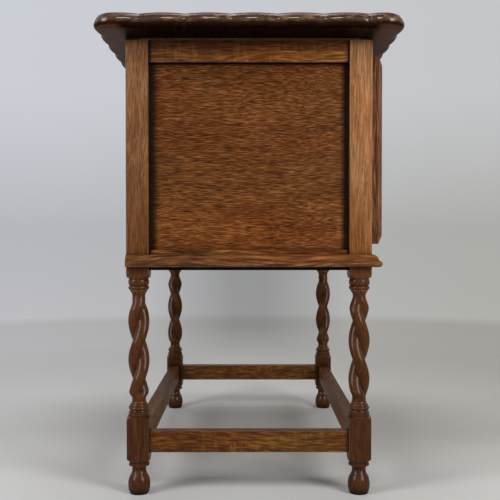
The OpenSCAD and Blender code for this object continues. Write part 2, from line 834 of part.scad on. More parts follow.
module right_door_lock_stile() {
    color(OAK) at_end(RIGHT) difference() {
        door_stile_blank(door_free_x - stile_w);
        lock_recess();
    }
}

module door_rail(end, z0) {
    x0 = door_outer_x + stile_w;
    x1 = door_free_x - stile_w;
    lower = z0 == door_z;
    groove_z = lower ? [z0 + stile_w - groove_depth, z0 + stile_w + over] : [z0 - over, z0 + groove_depth];
    color(OAK) at_end(end) difference() {
        union() {
            span([x0, -half_d, z0], [x1, door_back_y, z0 + stile_w]);
            door_tenon_strip(x0 - door_tenon_l, x1 + door_tenon_l, z0);
        }
        door_groove_strip([x0 - over - door_tenon_l, groove_z[0]], [x1 + over + door_tenon_l, groove_z[1]]);
    }
}

// The section of a fielded panel of a given width: a thin edge, a slope and a raised field
module field_section(width) {
    half = width / 2;
    front = door_panel_edge_t;
    slope = groove_depth + field_margin;
    polygon([
        [-half, 0], [half, 0], [half, front], [half - groove_depth, front],
        [half - slope, front + 0.7 * field_rise], [half - slope, front + field_rise],
        [-half + slope, front + field_rise], [-half + slope, front + 0.7 * field_rise],
        [-half + groove_depth, front], [-half, front]]);
}

module door_panel(end) {
    width = door_w - 2 * stile_w + 2 * (groove_depth - end_gap);
    height = door_h - 2 * stile_w + 2 * (groove_depth - end_gap);
    color(PANEL_OAK) at_end(end)
        translate([door_outer_x + door_w / 2, door_groove_y + door_panel_edge_t / 2, door_mid_z])
        intersection() {
            translate([0, 0, -height / 2]) mirror([0, 1, 0]) linear_extrude(height) field_section(width);
            translate([-width / 2, 0, 0]) rotate([90, 0, 90])
                linear_extrude(width) rotate(90) field_section(height);
        }
}

// The section of the door moulding: distance in from its outer edge, and height off the door
module mould_section() {
    crest = mould_slope_w + mould_crest_w;
    cove_w = mould_w - crest;
    cove_foot = 0.3 * mould_h;
    polygon(concat(
        [[0, 0], [0, mould_quirk_h], [mould_quirk_w, mould_quirk_h],
         [mould_quirk_w, mould_quirk_h + mould_quirk_w], [0, mould_quirk_h + mould_quirk_w],
         [0, mould_side_h], [mould_slope_w, mould_h]],
        arc([mould_w, mould_h], [cove_w, mould_h - cove_foot], 180, 270, 7),
        [[mould_w, 0]]));
}

// One mitred length, with its outer edge along X at the origin and its height along Z
module mitred_length(length) {
    intersection() {
        translate([-length / 2, 0, 0]) rotate([90, 0, 90]) linear_extrude(length) mould_section();
        translate([0, 0, -over]) linear_extrude(mould_h + 2 * over)
            polygon([[-length / 2, 0], [length / 2, 0],
                     [length / 2 - mould_w, mould_w], [-length / 2 + mould_w, mould_w]]);
    }
}

module door_moulding(end) {
    width = door_w - 2 * mould_margin;
    height = door_h - 2 * mould_margin;
    color(OAK) at_end(end) translate([door_outer_x + door_w / 2, -half_d, door_mid_z]) rotate([90, 0, 0])
        for (k = [0 : 3]) rotate([0, 0, 90 * k]) translate([0, -(k % 2 == 0 ? height : width) / 2, 0])
            mitred_length(k % 2 == 0 ? width : height);
}

// Hinges, drawn for the left door

module at_hinges() {
    for (z = hinge_heights) translate([hinge_x, hinge_y, z]) children();
}

// Plate of a leaf in hinge coordinates, where side is -1 towards the post and 1 towards the door
module leaf_plate(side, y0, half_h) {
    x = side * slack;
    span([min(x, x + side * leaf_t), y0, -half_h],
         [max(x, x + side * leaf_t), leaf_back_y - hinge_y, half_h]);
}

module leaf_screws(side, grow) {
    for (k = [-1 : 1]) translate([side * slack, leaf_mid_y - hinge_y, k * hinge_screw_step])
        rotate([0, side * 90, 0])
        screw_shape(hinge_screw_head_r + grow, hinge_screw_r + grow, hinge_screw_l + 10 * grow);
}

module knuckle(z0, z1) {
    translate([0, 0, z0]) cylinder(r = knuckle_r, h = z1 - z0);
}

wood_line = -half_d - hinge_y;

module frame_leaf_recesses() {
    at_hinges() span([-door_gap / 2 - leaf_recess, wood_line - over, -hinge_h / 2],
                     [0, leaf_back_y - hinge_y, hinge_h / 2]);
}

module door_leaf_recesses() {
    at_hinges() span([0, wood_line - over, -hinge_h / 2],
                     [door_gap / 2 + leaf_recess, leaf_back_y - hinge_y, hinge_h / 2]);
}

module frame_screw_holes() {
    at_hinges() leaf_screws(-1, running_fit);
}

module door_screw_holes() {
    at_hinges() leaf_screws(1, running_fit);
}

module hinge_bore() {
    translate([0, 0, -hinge_h / 2 - over]) cylinder(r = hinge_pin_r + running_fit, h = hinge_h + 2 * over);
}

module frame_leaves(end) {
    color(BRASS) at_end(end) at_hinges() difference() {
        union() {
            leaf_plate(-1, 0, hinge_h / 2);
            knuckle(-hinge_h / 2, -knuckle_split / 2);
            knuckle(knuckle_split / 2, hinge_h / 2);
        }
        span([-2 * knuckle_r, -2 * knuckle_r, -knuckle_split / 2],
             [2 * knuckle_r, knuckle_r + pass_gap, knuckle_split / 2]);
        hinge_bore();
        leaf_screws(-1, running_fit);
    }
}

module door_leaves(end) {
    half_split = knuckle_split / 2 - pass_gap;
    color(BRASS) at_end(end) at_hinges() difference() {
        union() {
            difference() {
                leaf_plate(1, 0, hinge_h / 2);
                for (side = [-1, 1]) translate([0, 0, side * (hinge_h / 2 + half_split)])
                    span([-over, -over, -hinge_h / 2], [leaf_t + over, knuckle_r + pass_gap, hinge_h / 2]);
            }
            knuckle(-half_split, half_split);
        }
        hinge_bore();
        leaf_screws(1, running_fit);
    }
}

module hinge_pins(end) {
    head_r = hinge_pin_r + 1;
    head_z = hinge_h / 2 + pass_gap / 2;
    color(BRASS) at_end(end) at_hinges() {
        translate([0, 0, -head_z - over]) cylinder(r = hinge_pin_r, h = 2 * (head_z + over));
        for (side = [-1, 1]) translate([0, 0, side * (head_z + 1)])
            cylinder(r = head_r, h = 2, center = true);
    }
}

module frame_hinge_screws() {
    color(BRASS) for (end = [LEFT, RIGHT]) at_end(end) at_hinges() leaf_screws(-1, 0);
}

module door_hinge_screws(end) {
    color(BRASS) at_end(end) at_hinges() leaf_screws(1, 0);
}

// Drop handles, drawn for the left door

drop_y = -half_d - rosette_t - drop_standoff;
eye_w = 4;
eye_r = 3;
eye_pin_r = 1.2;
ear_t = 2;

module handle_plate(end) {
    ear_x = eye_w / 2 + pass_gap;
    color(BRASS) at_end(end) translate([fitting_x, -half_d, handle_z]) {
        rotate([90, 0, 0]) rotate_extrude() polygon([
            [0, 0], [rosette_r, 0], [rosette_r, 0.4 * rosette_t], [rosette_r - 2, rosette_t],
            [0, rosette_t]]);
        for (side = [-1, 1]) mirror([side > 0 ? 1 : 0, 0, 0]) translate([-ear_x - ear_t, 0, 0]) {
            span([0, -rosette_t - drop_standoff, -eye_r], [ear_t, -rosette_t / 2, eye_r]);
            translate([0, drop_y + half_d, 0]) rotate([0, 90, 0]) cylinder(r = eye_r, h = ear_t);
        }
        translate([-ear_x - over, drop_y + half_d, 0]) rotate([0, 90, 0])
            cylinder(r = eye_pin_r, h = 2 * (ear_x + over));
    }
}

module handle_drop(end) {
    neck_r = 1.7;
    belly_z = -0.74 * drop_l;
    belly_h = drop_l + belly_z;
    color(BRASS) at_end(end) translate([fitting_x, drop_y, handle_z]) difference() {
        union() {
            rotate([0, 90, 0]) cylinder(r = eye_r, h = eye_w, center = true);
            rotate_extrude() polygon(concat(
                [[0, -drop_l]],
                arc([0, belly_z], [drop_r, belly_h], -85, 35, 10),
                [[neck_r + 0.6, -0.4 * drop_l], [neck_r, -0.3 * drop_l], [neck_r, -eye_r + 0.6],
                 [0, -eye_r + 0.6]]));
        }
        rotate([0, 90, 0]) cylinder(r = eye_pin_r + running_fit, h = eye_w + 2 * over, center = true);
    }
}

// Lock of the right door, drawn as if it were in the left door and then mirrored

case_reach = fitting_inset + key_bit + 2 * lock_wall;
case_front_y = door_back_y - lock_t;
bolt_mid_y = door_back_y - lock_t / 2;
bolt_z0 = key_z + 4;
bolt_end_x = fitting_x + key_bit + 1;
bolt_set_in = 0.8;
bit_w = 3;
bit_t = 2;

module lock_recess() {
    span([door_free_x - case_reach, case_front_y, key_z - lock_h / 2],
         [door_free_x + over, door_back_y + over, key_z + lock_h / 2]);
    translate([fitting_x, 0, key_z]) {
        rotate([90, 0, 0]) translate([0, 0, -case_front_y - over])
            cylinder(r = key_r + slack, h = half_d + case_front_y + 2 * over);
        span([-bit_t / 2 - slack, -half_d - over, -key_bit - slack],
             [bit_t / 2 + slack, case_front_y + over, 0]);
    }
}

module lock_case() {
    color(BRASS) at_end(RIGHT) difference() {
        span([door_free_x - case_reach, case_front_y, key_z - lock_h / 2],
             [door_free_x, door_back_y, key_z + lock_h / 2]);
        span([door_free_x - case_reach + lock_wall, case_front_y + lock_wall, key_z - lock_h / 2 + lock_wall],
             [door_free_x - lock_wall, door_back_y - lock_wall, key_z + lock_h / 2 - lock_wall]);
        span([door_free_x - lock_wall - over, bolt_mid_y - bolt_t / 2 - slack, bolt_z0 - slack],
             [door_free_x + over, bolt_mid_y + bolt_t / 2 + slack, bolt_z0 + bolt_h + slack]);
        translate([fitting_x, 0, key_z]) {
            rotate([90, 0, 0]) translate([0, 0, -case_front_y - lock_wall - over])
                cylinder(r = key_r + slack, h = lock_wall + 2 * over);
            span([-bit_t / 2 - slack, case_front_y - over, -key_bit - slack],
                 [bit_t / 2 + slack, case_front_y + lock_wall + over, 0]);
        }
    }
}

module lock_bolt() {
    color(BRASS) at_end(RIGHT)
        span([bolt_end_x, bolt_mid_y - bolt_t / 2, bolt_z0],
             [door_free_x - bolt_set_in, bolt_mid_y + bolt_t / 2, bolt_z0 + bolt_h]);
}

// The mortise in the left door's edge that the bolt of the right door shoots into
module strike_mortise() {
    span([door_free_x - bolt_travel - end_gap, bolt_mid_y - bolt_t / 2 - 0.5, bolt_z0 - 0.5],
         [door_free_x + over, bolt_mid_y + bolt_t / 2 + 0.5, bolt_z0 + bolt_h + 0.5]);
}

escutcheon_t = 1.2;

module escutcheon() {
    color(BRASS) at_end(RIGHT) translate([fitting_x, -half_d, key_z]) rotate([90, 0, 0]) difference() {
        linear_extrude(escutcheon_t) union() {
            circle(r = 7);
            translate([0, -key_bit]) circle(r = 6);
        }
        translate([0, 0, -over]) linear_extrude(escutcheon_t + 2 * over) union() {
            circle(r = key_r + slack);
            translate([-bit_t / 2 - slack, -key_bit - slack]) square([bit_t + 2 * slack, key_bit + slack]);
        }
    }
}

module key() {
    bow_r = 8;
    bow_t = 2.6;
    shank_out = 12;
    shank_end_y = door_back_y - lock_wall - slack;
    bow_y = -half_d - escutcheon_t - shank_out - bow_r;
    color(STEEL) at_end(RIGHT) translate([fitting_x, 0, key_z]) {
        translate([0, shank_end_y, 0]) rotate([90, 0, 0])
            cylinder(r = key_r, h = shank_end_y - bow_y - bow_r + 1.5);
        translate([0, -half_d - escutcheon_t - pass_gap, 0]) rotate([90, 0, 0])
            cylinder(r = key_r + 1, h = 2);
        translate([0, bow_y, 0]) rotate([0, 90, 0]) difference() {
            cylinder(r = bow_r, h = bow_t, center = true);
            cylinder(r = bow_r - 2.6, h = bow_t + 2, center = true);
        }
        span([-bit_t / 2, bolt_mid_y - bit_w / 2, -key_bit], [bit_t / 2, bolt_mid_y + bit_w / 2, 0]);
    }
}

// Slide bolt on the back of the left door

rod_x = door_free_x - stile_w / 2;
rod_clear = 1.5;
rod_y = door_back_y + rod_plate_t + rod_clear + rod_r;
rod_top = door_z + door_h - 0.5;
rod_mortise_gap = 0.7;
rod_plate_w = 14;
rod_plate_l = rod_l + 2;
guide_h = 6;
guide_heights = [rod_top - rod_l + 4, rod_top - 12 - guide_h];

module slide_bolt_plate() {
    color(BRASS) translate([rod_x, 0, 0]) difference() {
        union() {
            span([-rod_plate_w / 2, door_back_y, rod_top - rod_plate_l],
                 [rod_plate_w / 2, door_back_y + rod_plate_t, rod_top]);
            for (z = guide_heights) span(
                [-rod_r - 2, door_back_y, z], [rod_r + 2, rod_y + rod_r + 1.5, z + guide_h]);
        }
        translate([0, rod_y, rod_top - rod_plate_l - over])
            cylinder(r = rod_r + running_fit, h = rod_plate_l + 2 * over);
    }
}

// The square mortise in the rail above that the rod shoots into
module rod_mortise() {
    half = rod_r + rod_mortise_gap;
    span([rod_x - half, rod_y - half, post_h - front_top_rail_h - over],
         [rod_x + half, rod_y + half, rod_top + rod_travel + end_gap]);
}

module slide_bolt_rod() {
    knob_r = 2.5;
    knob_z = guide_heights[0] + guide_h + knob_r + 1;
    color(BRASS) translate([rod_x, rod_y, 0]) {
        translate([0, 0, rod_top - rod_l]) cylinder(r = rod_r, h = rod_l);
        translate([0, 0, knob_z]) rotate([-90, 0, 0]) cylinder(r = knob_r, h = rod_r + 6);
    }
}

post(LEFT, FRONT);  // front_left_post
post(RIGHT, FRONT);  // front_right_post
post(LEFT, BACK);  // back_left_post
post(RIGHT, BACK);  // back_right_post
end_top_rail(LEFT);  // left_top_rail
end_bottom_rail(LEFT);  // left_bottom_rail
end_panel(LEFT);  // left_panel
end_top_rail(RIGHT);  // right_top_rail
end_bottom_rail(RIGHT);  // right_bottom_rail
end_panel(RIGHT);  // right_panel
back_top_rail();
back_bottom_rail();
back_panel();
front_top_rail();
front_bottom_rail();
front_base_moulding();
end_base_moulding(LEFT);  // left_base_moulding
end_base_moulding(RIGHT);  // right_base_moulding
long_stretcher(FRONT);  // front_stretcher
long_stretcher(BACK);  // back_stretcher
end_stretcher(LEFT);  // left_stretcher
end_stretcher(RIGHT);  // right_stretcher
floor_board();
shelf();
shelf_bearer(LEFT);  // left_shelf_bearer
shelf_bearer(RIGHT);  // right_shelf_bearer
dust_board();
top();
top_screws();
door_hinge_stile(LEFT);  // left_door_hinge_stile
left_door_lock_stile();
door_rail(LEFT, rail_heights[1]);  // left_door_top_rail
door_rail(LEFT, rail_heights[0]);  // left_door_bottom_rail
door_panel(LEFT);  // left_door_panel
door_moulding(LEFT);  // left_door_moulding
door_hinge_stile(RIGHT);  // right_door_hinge_stile
right_door_lock_stile();
door_rail(RIGHT, rail_heights[1]);  // right_door_top_rail
door_rail(RIGHT, rail_heights[0]);  // right_door_bottom_rail
door_panel(RIGHT);  // right_door_panel
door_moulding(RIGHT);  // right_door_moulding
frame_leaves(LEFT);  // left_hinge_frame_leaves
door_leaves(LEFT);  // left_hinge_door_leaves
hinge_pins(LEFT);  // left_hinge_pins
frame_leaves(RIGHT);  // right_hinge_frame_leaves
door_leaves(RIGHT);  // right_hinge_door_leaves
hinge_pins(RIGHT);  // right_hinge_pins
frame_hinge_screws();
door_hinge_screws(LEFT);  // left_door_hinge_screws
door_hinge_screws(RIGHT);  // right_door_hinge_screws
handle_plate(LEFT);  // left_handle_plate
handle_drop(LEFT);  // left_handle_drop
handle_plate(RIGHT);  // right_handle_plate
handle_drop(RIGHT);  // right_handle_drop
lock_case();
lock_bolt();
key();
escutcheon();
slide_bolt_plate();
slide_bolt_rod();
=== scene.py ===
"""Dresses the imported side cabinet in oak, brass and steel, and lights it as in a pale studio.

Lengths are in metres. The posts and the top are drawn anew with finer steps than the CAD's, and the
other pieces keep their CAD form with softened edges. Each wood's grain runs along its piece.
"""
import math

import bpy
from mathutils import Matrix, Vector

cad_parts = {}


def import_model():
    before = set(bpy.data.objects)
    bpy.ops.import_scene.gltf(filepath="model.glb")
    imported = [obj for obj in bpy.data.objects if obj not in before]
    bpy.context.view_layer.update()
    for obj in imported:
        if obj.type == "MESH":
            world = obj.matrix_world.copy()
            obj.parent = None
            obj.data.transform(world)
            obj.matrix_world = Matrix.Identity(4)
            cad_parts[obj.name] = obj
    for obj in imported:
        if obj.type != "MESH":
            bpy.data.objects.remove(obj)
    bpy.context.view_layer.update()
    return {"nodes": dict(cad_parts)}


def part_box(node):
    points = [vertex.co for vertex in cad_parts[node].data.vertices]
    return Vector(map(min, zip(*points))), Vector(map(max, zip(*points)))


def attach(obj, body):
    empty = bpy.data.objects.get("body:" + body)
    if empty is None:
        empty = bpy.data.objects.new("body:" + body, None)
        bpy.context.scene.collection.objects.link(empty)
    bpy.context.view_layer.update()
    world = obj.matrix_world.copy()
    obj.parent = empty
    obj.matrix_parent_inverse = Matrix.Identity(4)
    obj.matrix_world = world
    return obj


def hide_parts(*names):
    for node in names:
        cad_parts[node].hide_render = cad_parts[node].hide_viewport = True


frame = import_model()
nodes = frame["nodes"]

MM = 0.001


# Materials

class Material:
    """A node material on one Principled shader."""

    def __init__(self, name):
        self.material = bpy.data.materials.new(name)
        self.material.use_nodes = True
        self.tree = self.material.node_tree
        self.shader = self.tree.nodes["Principled BSDF"]

    def put(self, socket, value):
        """Links an output to a socket, or sets the socket's own value."""
        if isinstance(value, bpy.types.NodeSocket):
            self.tree.links.new(value, socket)
        else:
            socket.default_value = value

    def set(self, socket, value):
        self.put(self.shader.inputs[socket], value)

    def add(self, kind, output, values=(), **settings):
        """Adds a node and returns one of its outputs, as the methods below do."""
        node = self.tree.nodes.new("ShaderNode" + kind)
        for name, value in settings.items():
            setattr(node, name, value)
        for socket, value in dict(values).items():
            self.put(node.inputs[socket], value)
        return node.outputs[output]

    def split(self, vector):
        """The outputs of a vector's three axes, by their names."""
        node = self.tree.nodes.new("ShaderNodeSeparateXYZ")
        self.put(node.inputs[0], vector)
        return {axis: node.outputs[axis] for axis in "XYZ"}

    def stretch(self, place, scale, shift=(0, 0, 0)):
        return self.add("Mapping", "Vector", {"Vector": place, "Scale": scale, "Location": shift})

    def noise(self, place, scale, detail=1.0, rough=0.5, shift=(0, 0, 0)):
        """Noise with a scale of its own along each axis."""
        return self.add("TexNoise", "Fac", {
            "Vector": self.stretch(place, scale, shift), "Scale": 1.0, "Detail": detail,
            "Roughness": rough})

    def math(self, operation, a, b=0.0, c=0.0):
        return self.add("Math", "Value", {0: a, 1: b, 2: c}, operation=operation)

    def times(self, a, b):
        return self.math("MULTIPLY", a, b)

    def spread(self, value, low, high, to_low=0.0, to_high=1.0):
        """Maps the values from low to high onto those from to_low to to_high, and holds them there."""
        return self.add("MapRange", "Result", {
            "Value": value, "From Min": low, "From Max": high, "To Min": to_low, "To Max": to_high})

    def mix(self, share, a, b, blend="MIX"):
        return self.add("Mix", 2, {0: share, 6: a, 7: b}, data_type="RGBA", blend_type=blend)

    def ramp(self, value, *stops):
        """A colour by a value, from stops of place and colour."""
        node = self.tree.nodes.new("ShaderNodeValToRGB")
        self.put(node.inputs["Fac"], value)
        while len(node.color_ramp.elements) < len(stops):
            node.color_ramp.elements.new(0.5)
        for element, (place, colour) in zip(node.color_ramp.elements, stops):
            element.position = place
            element.color = colour
        return node.outputs["Color"]


def rgb(red, green, blue):
    """A colour from its 0 to 255 display values."""
    return tuple(((c / 255 + 0.055) / 1.055) ** 2.4 if c > 10 else c / 255 / 12.92
                 for c in (red, green, blue)) + (1.0,)


BLACK = (0.0, 0.0, 0.0, 1.0)
PORE = rgb(38, 20, 10)
AMBER = rgb(150, 108, 58)
# The painted light on the top's underside beyond the carcass.
LIT_OVERHANG_BROWN = rgb(92, 58, 40)

# Dark, middle and light tones of each oak, and the tint of its redder patches.
PANEL_TONES = (rgb(41, 16, 3), rgb(85, 46, 14), rgb(132, 86, 46), rgb(255, 238, 218))
# The front posts' tones are paler with painted light, and the back posts' darker with painted shade.
LIT_FRONT_POST_TONES = (rgb(98, 64, 34), rgb(150, 108, 72), rgb(192, 154, 118), rgb(255, 240, 224))
SHADED_BACK_POST_TONES = (rgb(74, 45, 23), rgb(122, 84, 55), rgb(162, 124, 92), rgb(255, 234, 210))
RAIL_TONES = (rgb(42, 18, 3), rgb(98, 58, 25), rgb(160, 108, 60), rgb(255, 222, 190))
STRETCHER_TONES = (rgb(46, 23, 4), rgb(82, 49, 14), rgb(130, 90, 38), rgb(255, 224, 190))
MOULDING_TONES = (rgb(46, 22, 7), rgb(96, 60, 29), rgb(152, 108, 66), rgb(255, 226, 204))
TOP_TONES = (rgb(24, 9, 3), rgb(64, 35, 15), rgb(122, 82, 42), rgb(255, 224, 198))
INSIDE_TONES = (rgb(104, 78, 50), rgb(146, 114, 78), rgb(172, 142, 104), rgb(255, 244, 232))

# Scales of the oak's figure: twice across the grain, then along it.
SLOW_WAVES, RIPPLES = (5, 5, 4), (22, 22, 30)
RINGS, FIBRES, PORES = (22, 22, 1.4), (900, 900, 40), (1150, 1150, 75)
PATCHES, HUES = (13, 13, 6), (9, 9, 5)
RAYS, RAY_ZONES = (26, 26, 170), (30, 30, 9)

# How far each part of the figure counts, and the span of its noise over which it sets in.
WAVE_DEPTH, RIPPLE_DEPTH = 40 * MM, 2.2 * MM
RING_TURNS = 44.0
RING_TONE, DASH_TONE, FIBRE_TONE, PATCH_TONE = 0.035, 1.15, 0.35, 0.20
DARK_AT, MIDDLE_AT, LIGHT_AT = 0.20, 0.50, 0.82
HUE_SPAN, HUE_SHARE = (0.40, 0.60), 0.9
RAY_SPAN, RAY_ZONE_SPAN = (0.56, 0.70), (0.42, 0.62)
PORE_SPAN, PORE_SHARE, PORE_GATHERING = (0.60, 0.67), 0.5, 0.04
DASH_RELIEF, RELIEF, BUMP = 0.6, 0.25 * MM, 0.5
PORE_ROUGH, PATCH_ROUGH = 0.2, 0.16
EDGE_R, EDGE_TURN, EDGE_WEAR_AND_HIGHLIGHT_SPAN = 1.2 * MM, (0.985, 0.90), (0.35, 0.55)


class Oak(Material):
    """Polished oak, whose grain runs along the axis that grain names.

    A dash is one of the short dark streaks, given by its scales as above. Contrast is that of dashes
    and fibres, and rays is the share of the pale bars across the grain. Around, where it is given, is
    the ring of a mitred frame: its middle's x and z, and half its width and height.
    """

    def __init__(self, name, grain, tones, seed, dash=(300, 300, 60), contrast=1.0, rays=0.0,
                 around=None):
        super().__init__(name)
        self.place = self.add("TexCoord", "Object")
        self.axes = self.split(self.place)
        order = {"X": "YZX", "Y": "XZY", "Z": "XYZ"}[grain]
        board = self.add("CombineXYZ", "Vector", dict(zip("XYZ", [self.axes[a] for a in order])))
        if around:
            board = self.mitred(board, *around)
        board = self.stretch(board, (1, 1, 1), (seed, seed * 0.7, seed * 1.3))
        self.board = self.waves(board)
        self.grain(tones, dash, contrast, rays)

    def mitred(self, level, x, z, half_width, half_height):
        """Grain along X in the level lengths and along Z in the upright ones of a mitred frame."""
        aside = self.math("ABSOLUTE", self.math("SUBTRACT", self.math("ABSOLUTE", self.axes["X"]), x))
        above = self.math("ABSOLUTE", self.math("SUBTRACT", self.axes["Z"], z))
        lead = self.math("SUBTRACT", self.math("SUBTRACT", aside, half_width),
                         self.math("SUBTRACT", above, half_height))
        return self.mix(self.math("GREATER_THAN", lead, 0.0), level, self.place)

    def waves(self, board):
        """The board's coordinates, bent sideways so that its grain rises, falls and ripples."""
        slow = self.noise(board, SLOW_WAVES)
        quick = self.noise(board, RIPPLES)
        shift = self.math("MULTIPLY_ADD", slow, WAVE_DEPTH, self.times(quick, RIPPLE_DEPTH))
        aside = self.add("CombineXYZ", "Vector", {"X": shift, "Y": shift, "Z": 0.0})
        return self.add("VectorMath", "Vector", {0: board, 1: aside}, operation="ADD")

    def grain(self, tones, dash, contrast, rays):
        """The colour and the height of the annual rings, dashes, fibres, rays and pores."""
        dark, middle, light, red = tones
        rings = self.math("SINE", self.times(self.noise(self.board, RINGS, 2.0), RING_TURNS))
        dashes = self.noise(self.board, dash)
        fibres = self.noise(self.board, FIBRES, 2.0, 0.6)
        self.patches = self.noise(self.board, PATCHES, 2.0)
        tone = MIDDLE_AT - PATCH_TONE / 2 - contrast * (DASH_TONE + FIBRE_TONE) / 2
        for part, share in ((self.patches, PATCH_TONE), (fibres, FIBRE_TONE * contrast),
                            (dashes, DASH_TONE * contrast), (rings, RING_TONE)):
            tone = self.math("MULTIPLY_ADD", part, share, tone)
        colour = self.ramp(tone, (DARK_AT, dark), (MIDDLE_AT, middle), (LIGHT_AT, light))
        hue = self.noise(self.board, HUES, 2.0, shift=(3, 1, 2))
        colour = self.mix(self.spread(hue, *HUE_SPAN, 0.0, HUE_SHARE), colour, red, "MULTIPLY")
        if rays:
            across = self.noise(self.board, RAYS, rough=0.3, shift=(1, 5, 0))
            zone = self.noise(self.board, RAY_ZONES, shift=(7, 0, 2))
            bars = self.times(self.spread(across, *RAY_SPAN), self.spread(zone, *RAY_ZONE_SPAN))
            colour = self.mix(self.times(bars, rays), colour, light)
        pore_noise = self.noise(self.board, PORES, rough=0.4)
        pore_zone = self.spread(rings, -1.0, 0.8, PORE_GATHERING, 0.0)
        self.pores = self.spread(self.math("ADD", pore_noise, pore_zone), *PORE_SPAN)
        self.colour = self.mix(self.times(self.pores, PORE_SHARE), colour, PORE)
        self.height = self.math("MULTIPLY_ADD", self.pores, -1.0, self.times(dashes, DASH_RELIEF))

    def shade(self, share, tone):
        """Darkens the colour to a fraction of itself, by a share that varies over the surface."""
        self.colour = self.mix(1.0, self.colour, self.spread(share, 0.0, 1.0, 1.0, tone), "MULTIPLY")

    def crevices(self, distance, low, high, tone):
        """Painted shade, with old polish and dust, in the corners and hollows between pieces."""
        open_share = self.add("AmbientOcclusion", "AO", {"Distance": distance}, samples=8)
        light = self.spread(open_share, low, high, tone, 1.0)
        self.colour = self.mix(1.0, self.colour, light, "MULTIPLY")

    def edge_band(self, axis, start, stop, tone):
        """Darkens beyond a distance from the cabinet's middle along an axis."""
        away = self.math("ABSOLUTE", self.axes[axis])
        self.shade(self.spread(away, start, stop), tone)

    def tinted(self, axis, full, none, tint):
        """Multiplies by a tint, fully up to one place along an axis and not at all beyond another."""
        share = self.spread(self.axes[axis], full, none, 1.0, 0.0)
        self.colour = self.mix(share, self.colour, (*tint, 1.0), "MULTIPLY")

    def painted(self, share, colour):
        self.colour = self.mix(share, self.colour, colour)

    def worn_and_highlit_edges(self, share, edge_colour):
        """Lighter arrises from rubbing, with painted highlight."""
        soft = self.add("Bevel", "Normal", {"Radius": EDGE_R}, samples=4)
        hard = self.add("NewGeometry", "Normal")
        turn = self.add("VectorMath", "Value", {0: soft, 1: hard}, operation="DOT_PRODUCT")
        rubbed_and_highlit = self.times(self.spread(turn, *EDGE_TURN), self.spread(self.patches, *EDGE_WEAR_AND_HIGHLIGHT_SPAN))
        self.painted(self.times(rubbed_and_highlit, share), edge_colour)

    def spot(self, place, radius, tone):
        """A small dark spot: a filled nail hole or a pin knot."""
        off = self.add("VectorMath", "Value", {0: self.place, 1: place}, operation="DISTANCE")
        self.shade(self.spread(off, radius, radius * 0.5), tone)

    def finish(self, rough=0.46, coat=0.04, coat_rough=0.2, specular=0.14):
        """Joins the colour, the gloss and the relief to the shader, and returns the material."""
        uneven = self.math("MULTIPLY_ADD", self.patches, PATCH_ROUGH, rough - PATCH_ROUGH / 2)
        self.set("Base Color", self.colour)
        self.set("Roughness", self.math("MULTIPLY_ADD", self.pores, PORE_ROUGH, uneven))
        self.set("Specular IOR Level", specular)
        self.set("Coat Weight", coat)
        self.set("Coat Roughness", coat_rough)
        self.set("Normal", self.add("Bump", "Normal", {
            "Strength": BUMP, "Distance": RELIEF, "Height": self.height}))
        return self.material


TARNISH_PATCHES, SCRATCHES = (90, 90, 90), (400, 900, 400)
TARNISH_SPAN, HOLLOW_SPAN, HOLLOW_REACH = (0.42, 0.68), (0.4, 0.95), 4 * MM
TARNISH_ROUGH, SCRATCH_DEPTH, SCRATCH_BUMP = 0.25, 0.1 * MM, 0.25


def metal(name, colour, tarnish, rough, share):
    """Metal with darker tarnish in its corners, and a share of it in patches."""
    m = Material(name)
    place = m.add("TexCoord", "Object")
    patches = m.noise(place, TARNISH_PATCHES, 4.0, 0.6)
    open_share = m.add("AmbientOcclusion", "AO", {"Distance": HOLLOW_REACH}, samples=6)
    hollow = m.spread(open_share, *HOLLOW_SPAN, 1.0, 0.0)
    worn = m.math("MAXIMUM", m.spread(patches, *TARNISH_SPAN, 0.0, share), hollow)
    m.set("Base Color", m.mix(worn, colour, tarnish))
    m.set("Metallic", 1.0)
    m.set("Roughness", m.math("MULTIPLY_ADD", patches, TARNISH_ROUGH, rough))
    scratch = m.noise(place, SCRATCHES, 2.0)
    m.set("Normal", m.add("Bump", "Normal", {
        "Strength": SCRATCH_BUMP, "Distance": SCRATCH_DEPTH, "Height": scratch}))
    return m.material


# Pieces drawn anew

def new_object(name, points, faces):
    mesh = bpy.data.meshes.new(name)
    mesh.from_pydata(points, [], faces)
    mesh.validate()
    obj = bpy.data.objects.new(name, mesh)
    bpy.context.collection.objects.link(obj)
    return obj


def finish_mesh(obj, material, sharp):
    """Smooth shading but for edges sharper than an angle in degrees, and one material."""
    obj.data.polygons.foreach_set("use_smooth", [True] * len(obj.data.polygons))
    obj.data.set_sharp_from_angle(angle=math.radians(sharp))
    obj.data.materials.append(material)


def stand_in(obj, node):
    """Puts an object of the carcass in the place of a CAD node."""
    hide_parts(node)
    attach(obj, "carcass")


def band_faces(count, bands):
    """Faces between each closed ring of count points and the next."""
    return [(k * count + i, k * count + (i + 1) % count,
             (k + 1) * count + (i + 1) % count, (k + 1) * count + i)
            for k in range(bands) for i in range(count)]


def skin(name, rings):
    """A closed mesh over a stack of closed rings, with a fan of triangles over each end."""
    count = len(rings[0])
    points = [p for ring in rings for p in ring]
    faces = band_faces(count, len(rings) - 1)
    for base, ring, flip in ((0, rings[0], True), ((len(rings) - 1) * count, rings[-1], False)):
        middle = len(points)
        points.append(tuple(sum((Vector(p) for p in ring), Vector()) / count))
        for i in range(count):
            j = (i + 1) % count
            faces.append((middle, base + j, base + i) if flip else (middle, base + i, base + j))
    return new_object(name, points, faces)


def arc(centre, radii, start, end, steps):
    """Points of an elliptical arc in the plane of radius and height."""
    angles = [math.radians(start + (end - start) * k / steps) for k in range(steps + 1)]
    return [(centre[0] + radii[0] * math.cos(a), centre[1] + radii[1] * math.sin(a)) for a in angles]


